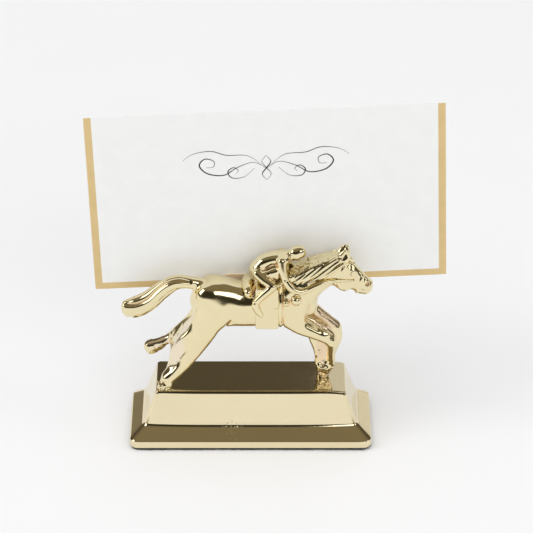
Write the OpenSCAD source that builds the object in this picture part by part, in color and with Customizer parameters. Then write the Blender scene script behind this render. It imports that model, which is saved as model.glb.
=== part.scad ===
// Horse-and-rider place card holder: a polished brass figure screwed to a stepped,
// felt-footed base, with a sprung card clip riveted to its far flank.
// +X is the way the horse runs, +Y is away from the viewer, and the origin lies in
// the middle of the felt's underside.

/* [Base] */
// Length of the base at its flange
base_l = 61.4; // [50:0.2:80]
// Depth of the base at its flange
base_d = 25; // [23:0.2:40]
// Height of the base from the felt's underside to its top plate
base_h = 14.7; // [13:0.1:20]
// Height of the upright band round the flange
band_h = 2; // [1:0.1:3]
// Rise of the sloping bevel above the band
bevel_h = 2.75; // [1.5:0.05:4]
// Distance that the bevel runs in from the flange's edge
bevel_in = 3.5; // [2.5:0.1:4]
// Distance from the bevel's inner edge to the top plate's end, at the short sides
end_slope = 3.25; // [1:0.05:5]
// Distance from the bevel's inner edge to the top plate's edge, at the long sides
side_slope = 1.7; // [0.8:0.05:2.5]
// Radius of the hollow sweep between the bevel and the plinth
foot_r = 0.5; // [0.3:0.1:2]
// Outward bow of the plinth's foot at the middle of its long sides
foot_bow = 0.7; // [0:0.1:1.2]
// Corner radius of the flange
flange_r = 2.2; // [1:0.1:3.5]
// Corner radius of the top plate
plate_r = 0.9; // [0.5:0.1:1.5]
// Width of the polished rounding along the base's edges
edge_r = 0.2; // [0.1:0.05:0.4]
// Wall thickness of the hollow base casting
base_wall = 1.8; // [1.4:0.1:2.5]
// Thickness of the felt under the base
felt_t = 0.8; // [0.5:0.1:1.5]
// Distance that the felt stays in from the flange's edge
felt_in = 0.25; // [0:0.05:1]

/* [Figure] */
// Length of the figure from the tip of the tail to the nose
figure_l = 62.5; // [58:0.5:66]
// Height of the figure from the top plate to the ears
figure_h = 38.4; // [36:0.1:42]
// Width of the figure over the hooves and the rider's feet
figure_w = 12.5; // [11.5:0.1:13.5]
// Distance from the middle of the hind hoof to the rear end of the top plate
hind_hoof_end = 2.3; // [2.2:0.05:5]
// Distance from the middle of the hind hoof to the near edge of the top plate
hind_hoof_side = 2.05; // [2:0.05:4]
// Distance from the middle of the fore hoof to the front end of the top plate
fore_hoof_end = 5.4; // [2.5:0.1:8]
// Depth of the combed grooves in the tail, as a share of its thickness
tail_groove_share = 0.13; // [0.05:0.01:0.2]
// Thickness of the saddle cloth
cloth_t = 0.5; // [0.3:0.05:0.8]

/* [Fixings] */
// Thread diameter of the screws that hold the hooves
screw_d = 1.6; // [1.2:0.1:2]
// Head diameter of the hoof screws
screw_head_d = 3.2; // [2.6:0.1:3.6]
// Head height of the hoof screws
screw_head_h = 1.1; // [0.8:0.1:1.4]
// Length of screw inside the hoof
screw_grip = 2; // [1.2:0.1:2.4]
// Outside diameter of the washers
washer_d = 3.8; // [3.5:0.1:4]
// Thickness of the washers
washer_t = 0.4; // [0.2:0.05:0.6]
// Diameter of the screw bosses inside the base
boss_d = 4.2; // [4:0.1:5]
// Length of the screw bosses under the top plate
boss_h = 2.6; // [1.5:0.1:3]
// Slot width of a screw head
screw_slot = 0.5; // [0.3:0.05:0.6]
// Running clearance round the screws and rivets
fit_gap = 0.08; // [0.05:0.01:0.15]

/* [Clip] */
// Width of the clip
clip_w = 18; // [14:0.5:20]
// Place of the clip's middle along the base
clip_x = 2; // [1:0.5:3]
// Depth of the slot that takes the card
slot_depth = 3.3; // [2:0.1:4]
// Thickness of the spring brass
clip_t = 0.45; // [0.3:0.05:0.6]
// Height of the riveted foot under the slot
clip_foot = 5; // [4.5:0.1:6]
// Length of the rear leaf's flared lip
lip_l = 0.9; // [0.5:0.1:1.5]
// Angle of the flared lip
lip_tilt = 28; // [10:1:40]
// Corner radius of the leaves
leaf_r = 1.5; // [0.5:0.1:1.8]
// Diameter of the rivets
rivet_d = 1.4; // [1:0.1:1.6]
// Diameter of the rivet heads
rivet_head_d = 2.6; // [2.2:0.1:3]
// Height of the rivet heads
rivet_head_h = 0.7; // [0.4:0.1:1]
// Distance between the rivets
rivet_pitch = 10; // [9:0.5:11]
// Length of rivet inside the figure's bosses
rivet_grip = 2; // [1:0.1:2.4]
// Diameter of the bosses on the horse's far flank
clip_boss_d = 3.4; // [3:0.1:4]
// Free distance from the middle of the horse to the clip's front face
clip_y = 6; // [5.8:0.1:7]

/* [Card] */
// Width of the card
card_w = 88.9; // [70:0.1:100]
// Height of the folded card
card_h = 50.8; // [40:0.1:60]
// Thickness of the card stock
card_t = 0.35; // [0.25:0.05:0.5]
// Clearance between the card and each jaw of the clip
card_gap = 0.1; // [0.05:0.01:0.2]
// Height of the slot's floor over the top plate
card_z = 23.5; // [23:0.1:25]
// Distance that the card's middle stands off the base's middle
card_x = 5.2; // [0:0.1:8]
// Forward lean of the card and clip
card_lean = 4; // [0:0.5:6]
// Turn of the card and clip about the upright
card_turn = 1.6; // [0:0.1:2.5]
// Slope of the card's lower edge
card_roll = 2; // [0:0.1:2.5]
// Angle between the card's two leaves at rest
fold_angle = 5; // [4:0.5:10]
// Inner radius of the fold between the card's leaves
fold_in = 0.05; // [0.04:0.01:0.1]

/* [Hidden] */
// Names of the pieces, base first

// Colours
brass_colour = [0.87, 0.80, 0.62];
rose_brass_colour = [0.88, 0.72, 0.52];
felt_colour = [0.08, 0.08, 0.08];
steel_colour = [0.75, 0.75, 0.77];
card_colour = [0.96, 0.96, 0.94];

// Overrun of every cut
cut = 1;
// Facets of round screws, rivets and bosses
round_fn = 48;
// Facets of the screw and rivet holes in the figure
hole_fn = 20;
// Facets of the small rounded forms of the figure
ball_fn = 8;

// Derived heights and extents of the base
flange_z = felt_t + band_h;
foot_z = flange_z + bevel_h;
foot_hx = base_l / 2 - bevel_in;
foot_hy = base_d / 2 - bevel_in;
plate_hx = foot_hx - end_slope;
plate_hy = foot_hy - side_slope;
cavity_z = base_h - base_wall;

// Facets of the barrel's sections, which the saddle cloth follows, and fullness of
// the sections of barrel and legs, where 1 is an ellipse
barrel_sides = 22;
barrel_square = 1.1;
leg_square = 1.25;
// Fullness of the neck, which is flat at its sides, and of the shoulders
neck_square = 1.5;
shoulder_square = 1.8;

// Hind and fore hoof that stand on the plate, where the figure's tables put them
stand_shares = [[-0.346, -0.42], [0.297, 0.06]];
// Their places on the plate, and how far each moves from the tables to get there
hooves = [
    [hind_hoof_end - plate_hx, hind_hoof_side - plate_hy],
    [plate_hx - fore_hoof_end, stand_shares[1].y * figure_w]];
strides = [for (i = [0, 1])
    hooves[i] - [stand_shares[i].x * figure_l, stand_shares[i].y * figure_w]];
// Height, as a share of the figure, from which a standing leg swings to its hoof
hip_share = 0.5;

// Slot of the clip
slot_gap = card_t + 2 * card_gap;
front_leaf_h = slot_depth + clip_foot;
clip_bottom_z = base_h + card_z;
rivet_z = -clip_foot / 2 - clip_t / 2;

function lerp(a, b, t) = a + (b - a) * t;
function unit(v) = v / norm(v);
// Signed power, for sections squarer than an ellipse
function spow(v, e) = sign(v) * pow(abs(v), e);
// Point between p1 and p2 on a smooth curve through p0 to p3
function smooth_row(p0, p1, p2, p3, t) =
    0.5 * (2 * p1 + (p2 - p0) * t + (2 * p0 - 5 * p1 + 4 * p2 - p3) * t * t
        + (3 * p1 - p0 - 3 * p2 + p3) * t * t * t);
// A list of rows with steps - 1 smooth rows put in between each two
function smoothed(rows, steps) = let (n = len(rows)) concat(
    [for (i = [0 : n - 2], k = [0 : steps - 1])
        smooth_row(rows[max(i - 1, 0)], rows[i], rows[i + 1],
            rows[min(i + 2, n - 1)], k / steps)],
    [rows[n - 1]]);
// Shares of the figure, [x, y, z, half width, half thickness], as millimetres. Rows
// under the hip swing by stride, all of it at the plate.
function figure_rows(shares, grow = 0, stride = [0, 0]) = [for (s = shares)
    let (swing = pow(max(0, 1 - s[2] / hip_share), 2))
    [s[0] * figure_l + swing * stride.x, s[1] * figure_w + swing * stride.y,
        base_h + s[2] * figure_h, s[3] * figure_w + grow, s[4] * figure_h + grow]];
function row_point(r) = [r[0], r[1], r[2]];

// Closed skin over rings of n points with a pole at each end
module skin(rings, pole_a, pole_b) {
    n = len(rings[0]);
    m = len(rings);
    points = concat([pole_a], [for (r = rings) each r], [pole_b]);
    last = m * n + 1;
    faces = concat(
        [for (j = [0 : n - 1]) [0, 1 + j, 1 + (j + 1) % n]],
        [for (i = [0 : m - 2], j = [0 : n - 1], k = [0, 1])
            let (a = 1 + i * n + j, b = 1 + i * n + (j + 1) % n, c = a + n, d = b + n)
            k == 0 ? [a, d, b] : [a, c, d]],
        [for (j = [0 : n - 1])
            [last, 1 + (m - 1) * n + (j + 1) % n, 1 + (m - 1) * n + j]]);
    polyhedron(points, faces, convexity = 6);
}

// Body swept along a smooth path of elliptical sections, with domed ends.
// square above 1 makes the sections fuller, lobes and groove comb them lengthwise.
module loft(rows, sides = 12, steps = 3, square = 1, lobes = 0, groove = 0) {
    path = smoothed(rows, steps);
    n = len(path);
    pts = [for (r = path) row_point(r)];
    dirs = [for (i = [0 : n - 1]) unit(pts[min(i + 1, n - 1)] - pts[max(i - 1, 0)])];
    dome_a = min(path[0][3], path[0][4]);
    dome_b = min(path[n - 1][3], path[n - 1][4]);
    dome_angles = [60, 30];
    function section(c, d, a, b) =
        let (w = unit([0, 1, 0] - d.y * d), u = cross(d, w))
        [for (j = [0 : sides - 1])
            let (t = 360 * j / sides, r = 1 - groove * (0.5 + 0.5 * cos(lobes * t)))
            c + a * r * spow(cos(t), 1 / square) * w + b * r * spow(sin(t), 1 / square) * u];
    rings = concat(
        [for (f = dome_angles) section(pts[0] - dirs[0] * dome_a * sin(f), dirs[0],
            path[0][3] * cos(f), path[0][4] * cos(f))],
        [for (i = [0 : n - 1]) section(pts[i], dirs[i], path[i][3], path[i][4])],
        [for (k = [1, 0]) section(pts[n - 1] + dirs[n - 1] * dome_b * sin(dome_angles[k]),
            dirs[n - 1], path[n - 1][3] * cos(dome_angles[k]),
            path[n - 1][4] * cos(dome_angles[k]))]);
    skin(rings, pts[0] - dirs[0] * dome_a, pts[n - 1] + dirs[n - 1] * dome_b);
}

// Chain of rounded links through rows of [x, y, z, half width, half thickness]
module chain(rows, steps = 1) {
    path = smoothed(rows, steps);
    for (i = [0 : len(path) - 2])
        hull()
            for (r = [path[i], path[i + 1]])
                translate(row_point(r))
                    scale([r[4], r[3], r[4]])
                        sphere(r = 1, $fn = ball_fn);
}

// Outline of one level of the base: half length, half depth, corner radius, height
// and the outward bow of its long sides
corner_steps = 6;
bow_steps = 6;
function bowed(p, hx, bow) = [p.x, p.y + sign(p.y) * bow * (1 - pow(abs(p.x) / hx, 4))];
function base_ring(hx, hy, r, z, bow = 0) =
    let (corner = function(cx, cy, from) [for (k = [0 : corner_steps])
            let (a = from + 90 * k / corner_steps) [cx + r * cos(a), cy + r * sin(a)]],
        side = function(y, s) [for (k = [1 : bow_steps - 1])
            [s * lerp(hx - r, r - hx, k / bow_steps), y]],
        flat = concat(corner(hx - r, hy - r, 0), side(hy, 1),
            corner(r - hx, hy - r, 90), corner(r - hx, r - hy, 180),
            side(-hy, -1), corner(hx - r, r - hy, 270)))
    [for (p = flat) let (q = bowed(p, hx, bow)) [q.x, q.y, z]];

// Outer form of the base: band, bevel, hollow sweep, plinth and top plate
module base_form() {
    // The sweep leaves the bevel's slope and turns up into the plinth's side
    sweep = [for (k = [0 : 5]) let (a = 90 * k / 5) [1 - sin(a), 1 - cos(a)]];
    band_top = flange_z - edge_r;
    rings = concat(
        [base_ring(base_l / 2 - edge_r, base_d / 2 - edge_r, flange_r, felt_t),
            base_ring(base_l / 2, base_d / 2, flange_r, felt_t + edge_r),
            base_ring(base_l / 2, base_d / 2, flange_r, band_top),
            base_ring(base_l / 2 - edge_r / 3, base_d / 2 - edge_r / 3, flange_r,
                flange_z - edge_r / 3),
            base_ring(base_l / 2 - edge_r, base_d / 2 - edge_r, flange_r, flange_z)],
        [for (s = sweep)
            let (out = foot_r * s.x, up = foot_r * s.y,
                drop = bevel_h * out / bevel_in,
                rise = up / (base_h - foot_z),
                bow = foot_bow * (1 - rise))
            base_ring(foot_hx + out - end_slope * rise, foot_hy + out - side_slope * rise,
                lerp(plate_r, flange_r, 0.3 * (1 - rise)) + out / 2,
                foot_z - drop + up, bow)],
        [base_ring(plate_hx, plate_hy, plate_r, base_h - edge_r),
            base_ring(plate_hx - edge_r / 3, plate_hy - edge_r / 3, plate_r,
                base_h - edge_r / 3),
            base_ring(plate_hx - edge_r, plate_hy - edge_r, plate_r, base_h)]);
    skin(rings, [0, 0, felt_t], [0, 0, base_h]);
}

// Hollow under the top plate, open below
module base_hollow() {
    low_z = felt_t - cut;
    rings = [
        base_ring(foot_hx - base_wall, foot_hy - base_wall, plate_r, low_z),
        base_ring(foot_hx - base_wall, foot_hy - base_wall, plate_r, foot_z),
        base_ring(plate_hx - base_wall, plate_hy - base_wall, plate_r, cavity_z)];
    skin(rings, [0, 0, low_z], [0, 0, cavity_z]);
}

module at_hooves() {
    for (h = hooves)
        translate([h.x, h.y, 0])
            children();
}

module base_casting() {
    color(brass_colour)
        difference() {
            union() {
                difference() {
                    base_form();
                    base_hollow();
                }
                at_hooves()
                    translate([0, 0, cavity_z - boss_h])
                        cylinder(d = boss_d, h = boss_h + base_wall / 2, $fn = round_fn);
            }
            at_hooves() {
                translate([0, 0, cavity_z - boss_h - cut])
                    cylinder(d = screw_d + 2 * fit_gap, h = boss_h + base_wall + 2 * cut,
                        $fn = round_fn);
                // Spot face that clears the washer and the screw's head
                translate([0, 0, felt_t - cut])
                    cylinder(d = washer_d + 2 * fit_gap,
                        h = cavity_z - boss_h - felt_t + cut, $fn = round_fn);
            }
        }
}

module felt_pad() {
    color(felt_colour)
        linear_extrude(felt_t)
            rounded_plate(base_l - 2 * (felt_in + edge_r), base_d - 2 * (felt_in + edge_r),
                flange_r);
}

// Rectangle with round corners, about the origin
module rounded_plate(l, d, r) {
    union() {
        square([l - 2 * r, d], center = true);
        square([l, d - 2 * r], center = true);
        for (x = [-1, 1], y = [-1, 1])
            translate([x * (l / 2 - r), y * (d / 2 - r)])
                circle(r = r, $fn = round_fn);
    }
}

washer_z = cavity_z - boss_h - washer_t;

module screw_washers() {
    color(steel_colour)
        at_hooves()
            translate([0, 0, washer_z])
                difference() {
                    cylinder(d = washer_d, h = washer_t, $fn = round_fn);
                    translate([0, 0, -cut])
                        cylinder(d = screw_d + 2 * fit_gap, h = washer_t + 2 * cut,
                            $fn = round_fn);
                }
}

module hoof_screws() {
    color(steel_colour)
        at_hooves()
            difference() {
                union() {
                    translate([0, 0, washer_z - screw_head_h])
                        cylinder(d = screw_head_d, h = screw_head_h, $fn = round_fn);
                    translate([0, 0, washer_z])
                        cylinder(d = screw_d, h = base_h + screw_grip - washer_z,
                            $fn = round_fn);
                }
                translate([-screw_head_d / 2 - cut, -screw_slot / 2,
                        washer_z - screw_head_h - cut])
                    cube([screw_head_d + 2 * cut, screw_slot, cut + screw_head_h / 2]);
            }
}

// Tables of the figure. Each row is [x, y, z, half width, half thickness]: x in
// shares of figure_l from the base's middle, y and half width in shares of figure_w,
// z over the top plate and half thickness in shares of figure_h.
barrel_shares = [
    [-0.196, 0, 0.615, 0.22, 0.1], [-0.17, 0, 0.608, 0.35, 0.148],
    [-0.12, 0, 0.596, 0.4, 0.158], [-0.048, 0, 0.568, 0.376, 0.14],
    [0.032, 0, 0.57, 0.376, 0.141], [0.112, 0, 0.585, 0.384, 0.156],
    [0.176, 0, 0.595, 0.352, 0.15], [0.216, 0, 0.6, 0.26, 0.108]];
neck_shares = [
    [0.128, 0, 0.62, 0.335, 0.146], [0.192, 0, 0.688, 0.28, 0.141],
    [0.26, 0, 0.768, 0.22, 0.117], [0.322, 0, 0.823, 0.188, 0.098],
    [0.362, 0, 0.841, 0.172, 0.086]];
shoulder_shares = [
    [0.153, 0, 0.52, 0.371, 0.07], [0.167, 0, 0.612, 0.379, 0.078],
    [0.182, 0, 0.674, 0.351, 0.073]];
head_shares = [
    [0.352, 0, 0.809, 0.168, 0.1], [0.384, 0, 0.776, 0.168, 0.103],
    [0.421, 0, 0.742, 0.14, 0.078], [0.448, 0, 0.714, 0.128, 0.062],
    [0.466, 0, 0.697, 0.124, 0.052]];
tail_shares = [
    [-0.195, 0, 0.7, 0.11, 0.045], [-0.244, 0, 0.721, 0.124, 0.042],
    [-0.3, 0, 0.72, 0.132, 0.051], [-0.357, 0, 0.659, 0.144, 0.06],
    [-0.408, 0, 0.583, 0.156, 0.068], [-0.458, 0, 0.534, 0.156, 0.066],
    [-0.498, 0, 0.518, 0.128, 0.048]];
near_hind_shares = [
    [-0.143, -0.2, 0.585, 0.19, 0.12], [-0.163, -0.28, 0.494, 0.175, 0.096],
    [-0.178, -0.328, 0.411, 0.152, 0.072], [-0.207, -0.361, 0.314, 0.12, 0.052],
    [-0.253, -0.384, 0.206, 0.103, 0.04], [-0.299, -0.4, 0.117, 0.096, 0.034],
    [-0.338, -0.416, 0.063, 0.1, 0.034]];
near_hind_hoof_shares = [
    [-0.343, -0.415, 0.05, 0.11, 0.036], [-0.352, -0.42, -0.02, 0.14, 0.05]];
far_hind_shares = [
    [-0.142, 0.2, 0.585, 0.19, 0.12], [-0.18, 0.28, 0.475, 0.17, 0.09],
    [-0.228, 0.34, 0.37, 0.14, 0.062], [-0.288, 0.355, 0.286, 0.11, 0.044],
    [-0.338, 0.35, 0.22, 0.1, 0.035], [-0.362, 0.35, 0.192, 0.105, 0.035]];
far_hind_hoof_shares = [
    [-0.376, 0.35, 0.178, 0.12, 0.046], [-0.41, 0.35, 0.156, 0.13, 0.054]];
near_fore_shares = [
    [0.16, -0.21, 0.605, 0.175, 0.12], [0.17, -0.26, 0.51, 0.168, 0.091],
    [0.197, -0.265, 0.44, 0.15, 0.056], [0.251, -0.24, 0.383, 0.12, 0.038],
    [0.304, -0.19, 0.331, 0.106, 0.034], [0.328, -0.159, 0.29, 0.1, 0.032],
    [0.328, -0.1, 0.21, 0.085, 0.026], [0.33, -0.04, 0.129, 0.085, 0.027],
    [0.321, 0.0, 0.089, 0.099, 0.032]];
fore_hoof_shares = [
    [0.314, 0.008, 0.086, 0.112, 0.038], [0.299, 0.032, 0.039, 0.128, 0.042],
    [0.293, 0.056, -0.021, 0.136, 0.043]];
far_fore_shares = [
    [0.161, 0.21, 0.605, 0.175, 0.12], [0.211, 0.223, 0.517, 0.153, 0.073],
    [0.276, 0.199, 0.429, 0.143, 0.053], [0.33, 0.184, 0.347, 0.141, 0.055],
    [0.342, 0.168, 0.273, 0.128, 0.051], [0.33, 0.144, 0.189, 0.108, 0.039],
    [0.314, 0.104, 0.099, 0.1, 0.035]];
// Webs of metal between the legs, each from line to line
hind_web_shares = [
    [[-0.199, -0.28, 0.39, 0.049, 0.016], [-0.322, -0.39, 0.096, 0.048, 0.016]],
    [[-0.275, -0.16, 0.35, 0.048, 0.015], [-0.318, -0.25, 0.129, 0.048, 0.017]],
    [[-0.251, 0.26, 0.39, 0.048, 0.016], [-0.322, 0.261, 0.239, 0.048, 0.016]]];
upper_web_shares = [
    [[0.216, -0.114, 0.42, 0.065, 0.02], [0.315, -0.109, 0.28, 0.064, 0.02]],
    [[0.253, 0.12, 0.42, 0.064, 0.021], [0.328, 0.12, 0.28, 0.065, 0.02]]];
lower_web_shares = [
    [[0.25, 0, 0.29, 0.067, 0.022], [0.274, 0.004, 0.07, 0.067, 0.022]],
    [[0.325, 0.12, 0.28, 0.068, 0.021], [0.32, 0.06, 0.08, 0.068, 0.022]]];
ear_shares = [
    [0.367, 0.091, 0.911, 0.079, 0.033], [0.375, 0.107, 0.952, 0.066, 0.029],
    [0.384, 0.111, 0.979, 0.032, 0.016]];
ear_back_shares = [[0.364, 0.069, 0.877, 0.09, 0.034], [0.368, 0.089, 0.901, 0.07, 0.029]];
noseband_shares = [[0.431, 0, 0.73, 0.15, 0.079], [0.44, 0, 0.722, 0.147, 0.074]];
girth_shares = [[0.116, 0, 0.585, 0.4, 0.164], [0.129, 0, 0.589, 0.396, 0.162]];
chin_shares = [[0.41, 0, 0.668, 0.09, 0.022], [0.44, 0, 0.666, 0.09, 0.024]];
muzzle_shares = [[0.456, 0, 0.683, 0.118, 0.04], [0.464, 0, 0.689, 0.12, 0.044]];
eye_shares = [0.405, 0.13, 0.82, 0.045];
nostril_shares = [0.469, 0.118, 0.724, 0.03];
// Locks of the mane, each from the crest to its loose end, on the near side
mane_shares = [
    [[0.384, 0.1, 0.935, 0.045, 0.016], [0.346, 0.184, 0.909, 0.04, 0.015],
        [0.302, 0.207, 0.857, 0.036, 0.013], [0.261, 0.228, 0.802, 0.028, 0.01],
        [0.224, 0.252, 0.766, 0.012, 0.005]],
    [[0.336, 0.176, 0.917, 0.04, 0.014], [0.294, 0.204, 0.875, 0.038, 0.014],
        [0.245, 0.234, 0.812, 0.034, 0.012], [0.202, 0.264, 0.768, 0.012, 0.005]],
    [[0.368, 0.168, 0.898, 0.032, 0.012], [0.333, 0.192, 0.867, 0.036, 0.013],
        [0.293, 0.218, 0.815, 0.03, 0.011], [0.254, 0.237, 0.786, 0.012, 0.005]],
    [[0.288, 0.183, 0.889, 0.034, 0.012], [0.246, 0.224, 0.846, 0.036, 0.013],
        [0.205, 0.255, 0.794, 0.03, 0.011], [0.179, 0.272, 0.773, 0.012, 0.005]]];

function mirrored(rows) = [for (r = rows) [r[0], -r[1], r[2], r[3], r[4]]];

// Web of metal through pairs of rows, each pair swinging with its own leg
module web(pairs, leg_strides) {
    for (k = [0 : len(pairs) - 2])
        hull()
            for (i = [k, k + 1])
                for (r = figure_rows(pairs[i], stride = leg_strides[i]))
                    translate(row_point(r))
                        scale([r[4], r[3], r[4]])
                            sphere(r = 1, $fn = ball_fn);
}

module horse_head() {
    loft(figure_rows(neck_shares), sides = 20, steps = 2, square = neck_square);
    loft(figure_rows(head_shares), sides = 16, steps = 2, square = 1.15);
    loft(figure_rows(noseband_shares), steps = 1);
    chain(figure_rows(chin_shares));
    chain(figure_rows(muzzle_shares));
    for (side = [figure_rows(ear_shares), mirrored(figure_rows(ear_shares)),
            figure_rows(ear_back_shares), mirrored(figure_rows(ear_back_shares))])
        chain(side);
    for (lock = mane_shares) {
        chain(mirrored(figure_rows(lock)));
        chain(figure_rows(lock));
    }
    for (s = [-1, 1])
        translate([eye_shares[0] * figure_l, s * eye_shares[1] * figure_w,
                base_h + eye_shares[2] * figure_h])
            sphere(r = eye_shares[3] * figure_w, $fn = ball_fn);
}

module horse_legs() {
    still = [0, 0];
    for (leg = [[near_hind_shares, strides[0]], [far_hind_shares, still],
            [near_fore_shares, strides[1]], [far_fore_shares, strides[1]]])
        loft(figure_rows(leg[0], stride = leg[1]), steps = 2, square = leg_square);
    for (hoof = [[near_hind_hoof_shares, strides[0]], [far_hind_hoof_shares, still],
            [fore_hoof_shares, strides[1]]])
        loft(figure_rows(hoof[0], stride = hoof[1]), steps = 1, square = barrel_square);
    web(hind_web_shares, [strides[0], strides[0], still]);
    web(upper_web_shares, [strides[1], strides[1]]);
    web(lower_web_shares, [strides[1], strides[1]]);
}

// Boss on the far flank that the clip's front leaf lies against
module clip_bosses() {
    in_clip_place()
        at_rivets()
            rotate([90, 0, 0])
                translate([0, 0, -clip_front_y])
                    cylinder(d = clip_boss_d, h = clip_y, $fn = ball_fn * 2);
}

// Everything of the horse that the rider and the clip are set against
module horse_form() {
    loft(figure_rows(barrel_shares), sides = barrel_sides, square = barrel_square);
    loft(figure_rows(girth_shares), sides = barrel_sides, steps = 1,
        square = barrel_square);
    loft(figure_rows(shoulder_shares), sides = 20, steps = 2, square = shoulder_square);
    horse_head();
    horse_legs();
    loft(figure_rows(tail_shares), sides = 20, steps = 2, lobes = 5,
        groove = tail_groove_share);
    clip_bosses();
}

module horse_casting() {
    color(brass_colour)
        difference() {
            horse_form();
            translate([-figure_l, -figure_w, base_h - figure_h])
                cube([2 * figure_l, 2 * figure_w, figure_h]);
            at_hooves()
                translate([0, 0, base_h - cut])
                    cylinder(d = screw_d + 4 * fit_gap, h = cut + screw_grip + fit_gap,
                        $fn = hole_fn);
            in_clip_place()
                at_rivets()
                    rotate([-90, 0, 0])
                        translate([0, 0, clip_front_y - rivet_grip - fit_gap])
                            cylinder(d = rivet_d + 4 * fit_gap, h = rivet_grip + cut,
                                $fn = hole_fn);
            for (s = [-1, 1])
                translate([nostril_shares[0] * figure_l, s * nostril_shares[1] * figure_w,
                        base_h + nostril_shares[2] * figure_h])
                    sphere(r = nostril_shares[3] * figure_w, $fn = ball_fn);
        }
}

// Tables of the rider, as for the horse
rider_back_shares = [
    [0.031, 0, 0.819, 0.192, 0.05], [0.052, 0, 0.871, 0.183, 0.049],
    [0.096, 0, 0.906, 0.184, 0.045], [0.133, 0, 0.909, 0.201, 0.041]];
rider_neck_shares = [[0.136, 0, 0.915, 0.101, 0.031], [0.166, 0, 0.93, 0.1, 0.032]];
rider_head_shares = [[0.166, 0, 0.929, 0.119, 0.038], [0.197, 0, 0.951, 0.13, 0.044]];
near_thigh_shares = [
    [0.031, -0.18, 0.821, 0.112, 0.036], [0.06, -0.315, 0.79, 0.093, 0.03],
    [0.092, -0.391, 0.764, 0.076, 0.027]];
near_shin_shares = [
    [0.093, -0.396, 0.76, 0.075, 0.026], [0.056, -0.417, 0.708, 0.063, 0.022],
    [0.024, -0.428, 0.653, 0.06, 0.021], [0.019, -0.43, 0.625, 0.057, 0.021]];
near_boot_shares = [
    [0.019, -0.434, 0.631, 0.062, 0.023], [0.029, -0.438, 0.59, 0.053, 0.02],
    [0.044, -0.437, 0.555, 0.036, 0.013]];
near_arm_shares = [
    [0.127, -0.185, 0.911, 0.1, 0.034], [0.13, -0.249, 0.851, 0.08, 0.027],
    [0.142, -0.272, 0.786, 0.08, 0.026], [0.166, -0.28, 0.732, 0.076, 0.024],
    [0.195, -0.28, 0.712, 0.064, 0.022], [0.222, -0.271, 0.716, 0.057, 0.02]];
near_rein_shares = [
    [0.222, -0.272, 0.715, 0.048, 0.018], [0.259, -0.24, 0.742, 0.04, 0.017],
    [0.299, -0.212, 0.766, 0.035, 0.015], [0.339, -0.192, 0.771, 0.03, 0.013],
    [0.378, -0.18, 0.768, 0.028, 0.011], [0.414, -0.156, 0.762, 0.026, 0.01]];
// Saddle cloth: front and rear edge along X, lower edge in Z, corner radius in X
cloth_shares = [0.022, 0.114, 0.445, 0.011];
// Its flap: inner and outer face in Y, upper edge in Z
flap_shares = [0.312, 0.424, 0.745];

// Outline of the saddle cloth on one flank, up to a height
module cloth_outline(top_z) {
    x0 = cloth_shares[0] * figure_l;
    x1 = cloth_shares[1] * figure_l;
    z0 = base_h + cloth_shares[2] * figure_h;
    r = cloth_shares[3] * figure_l;
    hull() {
        for (x = [x0 + r, x1 - r])
            translate([x, z0 + r])
                circle(r = r, $fn = 16);
        translate([x0, top_z - r])
            square([x1 - x0, r]);
    }
}

// The cloth lies on the horse's back and hangs straight down each flank
module saddle_cloth() {
    intersection() {
        loft(figure_rows(barrel_shares, cloth_t), sides = barrel_sides,
            square = barrel_square);
        rotate([90, 0, 0])
            linear_extrude(2 * figure_w, center = true)
                cloth_outline(base_h + figure_h);
    }
    flap_t = (flap_shares[1] - flap_shares[0]) * figure_w;
    for (s = [-1, 1])
        translate([0, s * (flap_shares[0] + flap_shares[1]) / 2 * figure_w, 0])
            rotate([90, 0, 0])
                linear_extrude(flap_t, center = true)
                    cloth_outline(base_h + flap_shares[2] * figure_h);
}

module rider_form() {
    loft(figure_rows(rider_back_shares), sides = 16);
    chain(figure_rows(rider_neck_shares));
    chain(figure_rows(rider_head_shares));
    for (limb = [near_thigh_shares, near_shin_shares, near_boot_shares, near_arm_shares,
            near_rein_shares]) {
        chain(figure_rows(limb));
        chain(mirrored(figure_rows(limb)));
    }
    saddle_cloth();
}

module jockey_casting() {
    color(brass_colour)
        difference() {
            rider_form();
            horse_form();
            in_clip_place()
                translate([-clip_w / 2, clip_front_y, -front_leaf_h])
                    cube([clip_w, figure_w, 2 * front_leaf_h]);
        }
}

// Place of the card: its slot's floor, with the lean and turn of clip and card.
// There X runs along the card, Y is square to it, away from the viewer, and Z runs
// up in its plane. The card's middle plane is at y = 0.
card_y = clip_y + clip_t + slot_gap / 2;
clip_front_y = -slot_gap / 2 - clip_t;

module in_clip_place() {
    translate([clip_x, card_y, clip_bottom_z])
        rotate([card_lean, 0, card_turn])
            children();
}

module at_rivets() {
    for (s = [-1, 1])
        translate([s * rivet_pitch / 2, 0, rivet_z])
            children();
}

// Flat strip of the clip between two heights, with round upper or lower corners
module leaf_plate(z0, z1, y0) {
    translate([0, y0 + clip_t, 0])
        rotate([90, 0, 0])
            linear_extrude(clip_t)
                translate([0, (z0 + z1) / 2])
                    rounded_plate(clip_w, z1 - z0, leaf_r);
}

module rivet_holes() {
    at_rivets()
        rotate([90, 0, 0])
            cylinder(d = rivet_d + 2 * fit_gap, h = 2 * figure_w, center = true,
                $fn = round_fn);
}

module clip_front_leaf() {
    color(rose_brass_colour)
        in_clip_place()
            difference() {
                leaf_plate(-clip_foot, slot_depth, clip_front_y);
                rivet_holes();
            }
}

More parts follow.
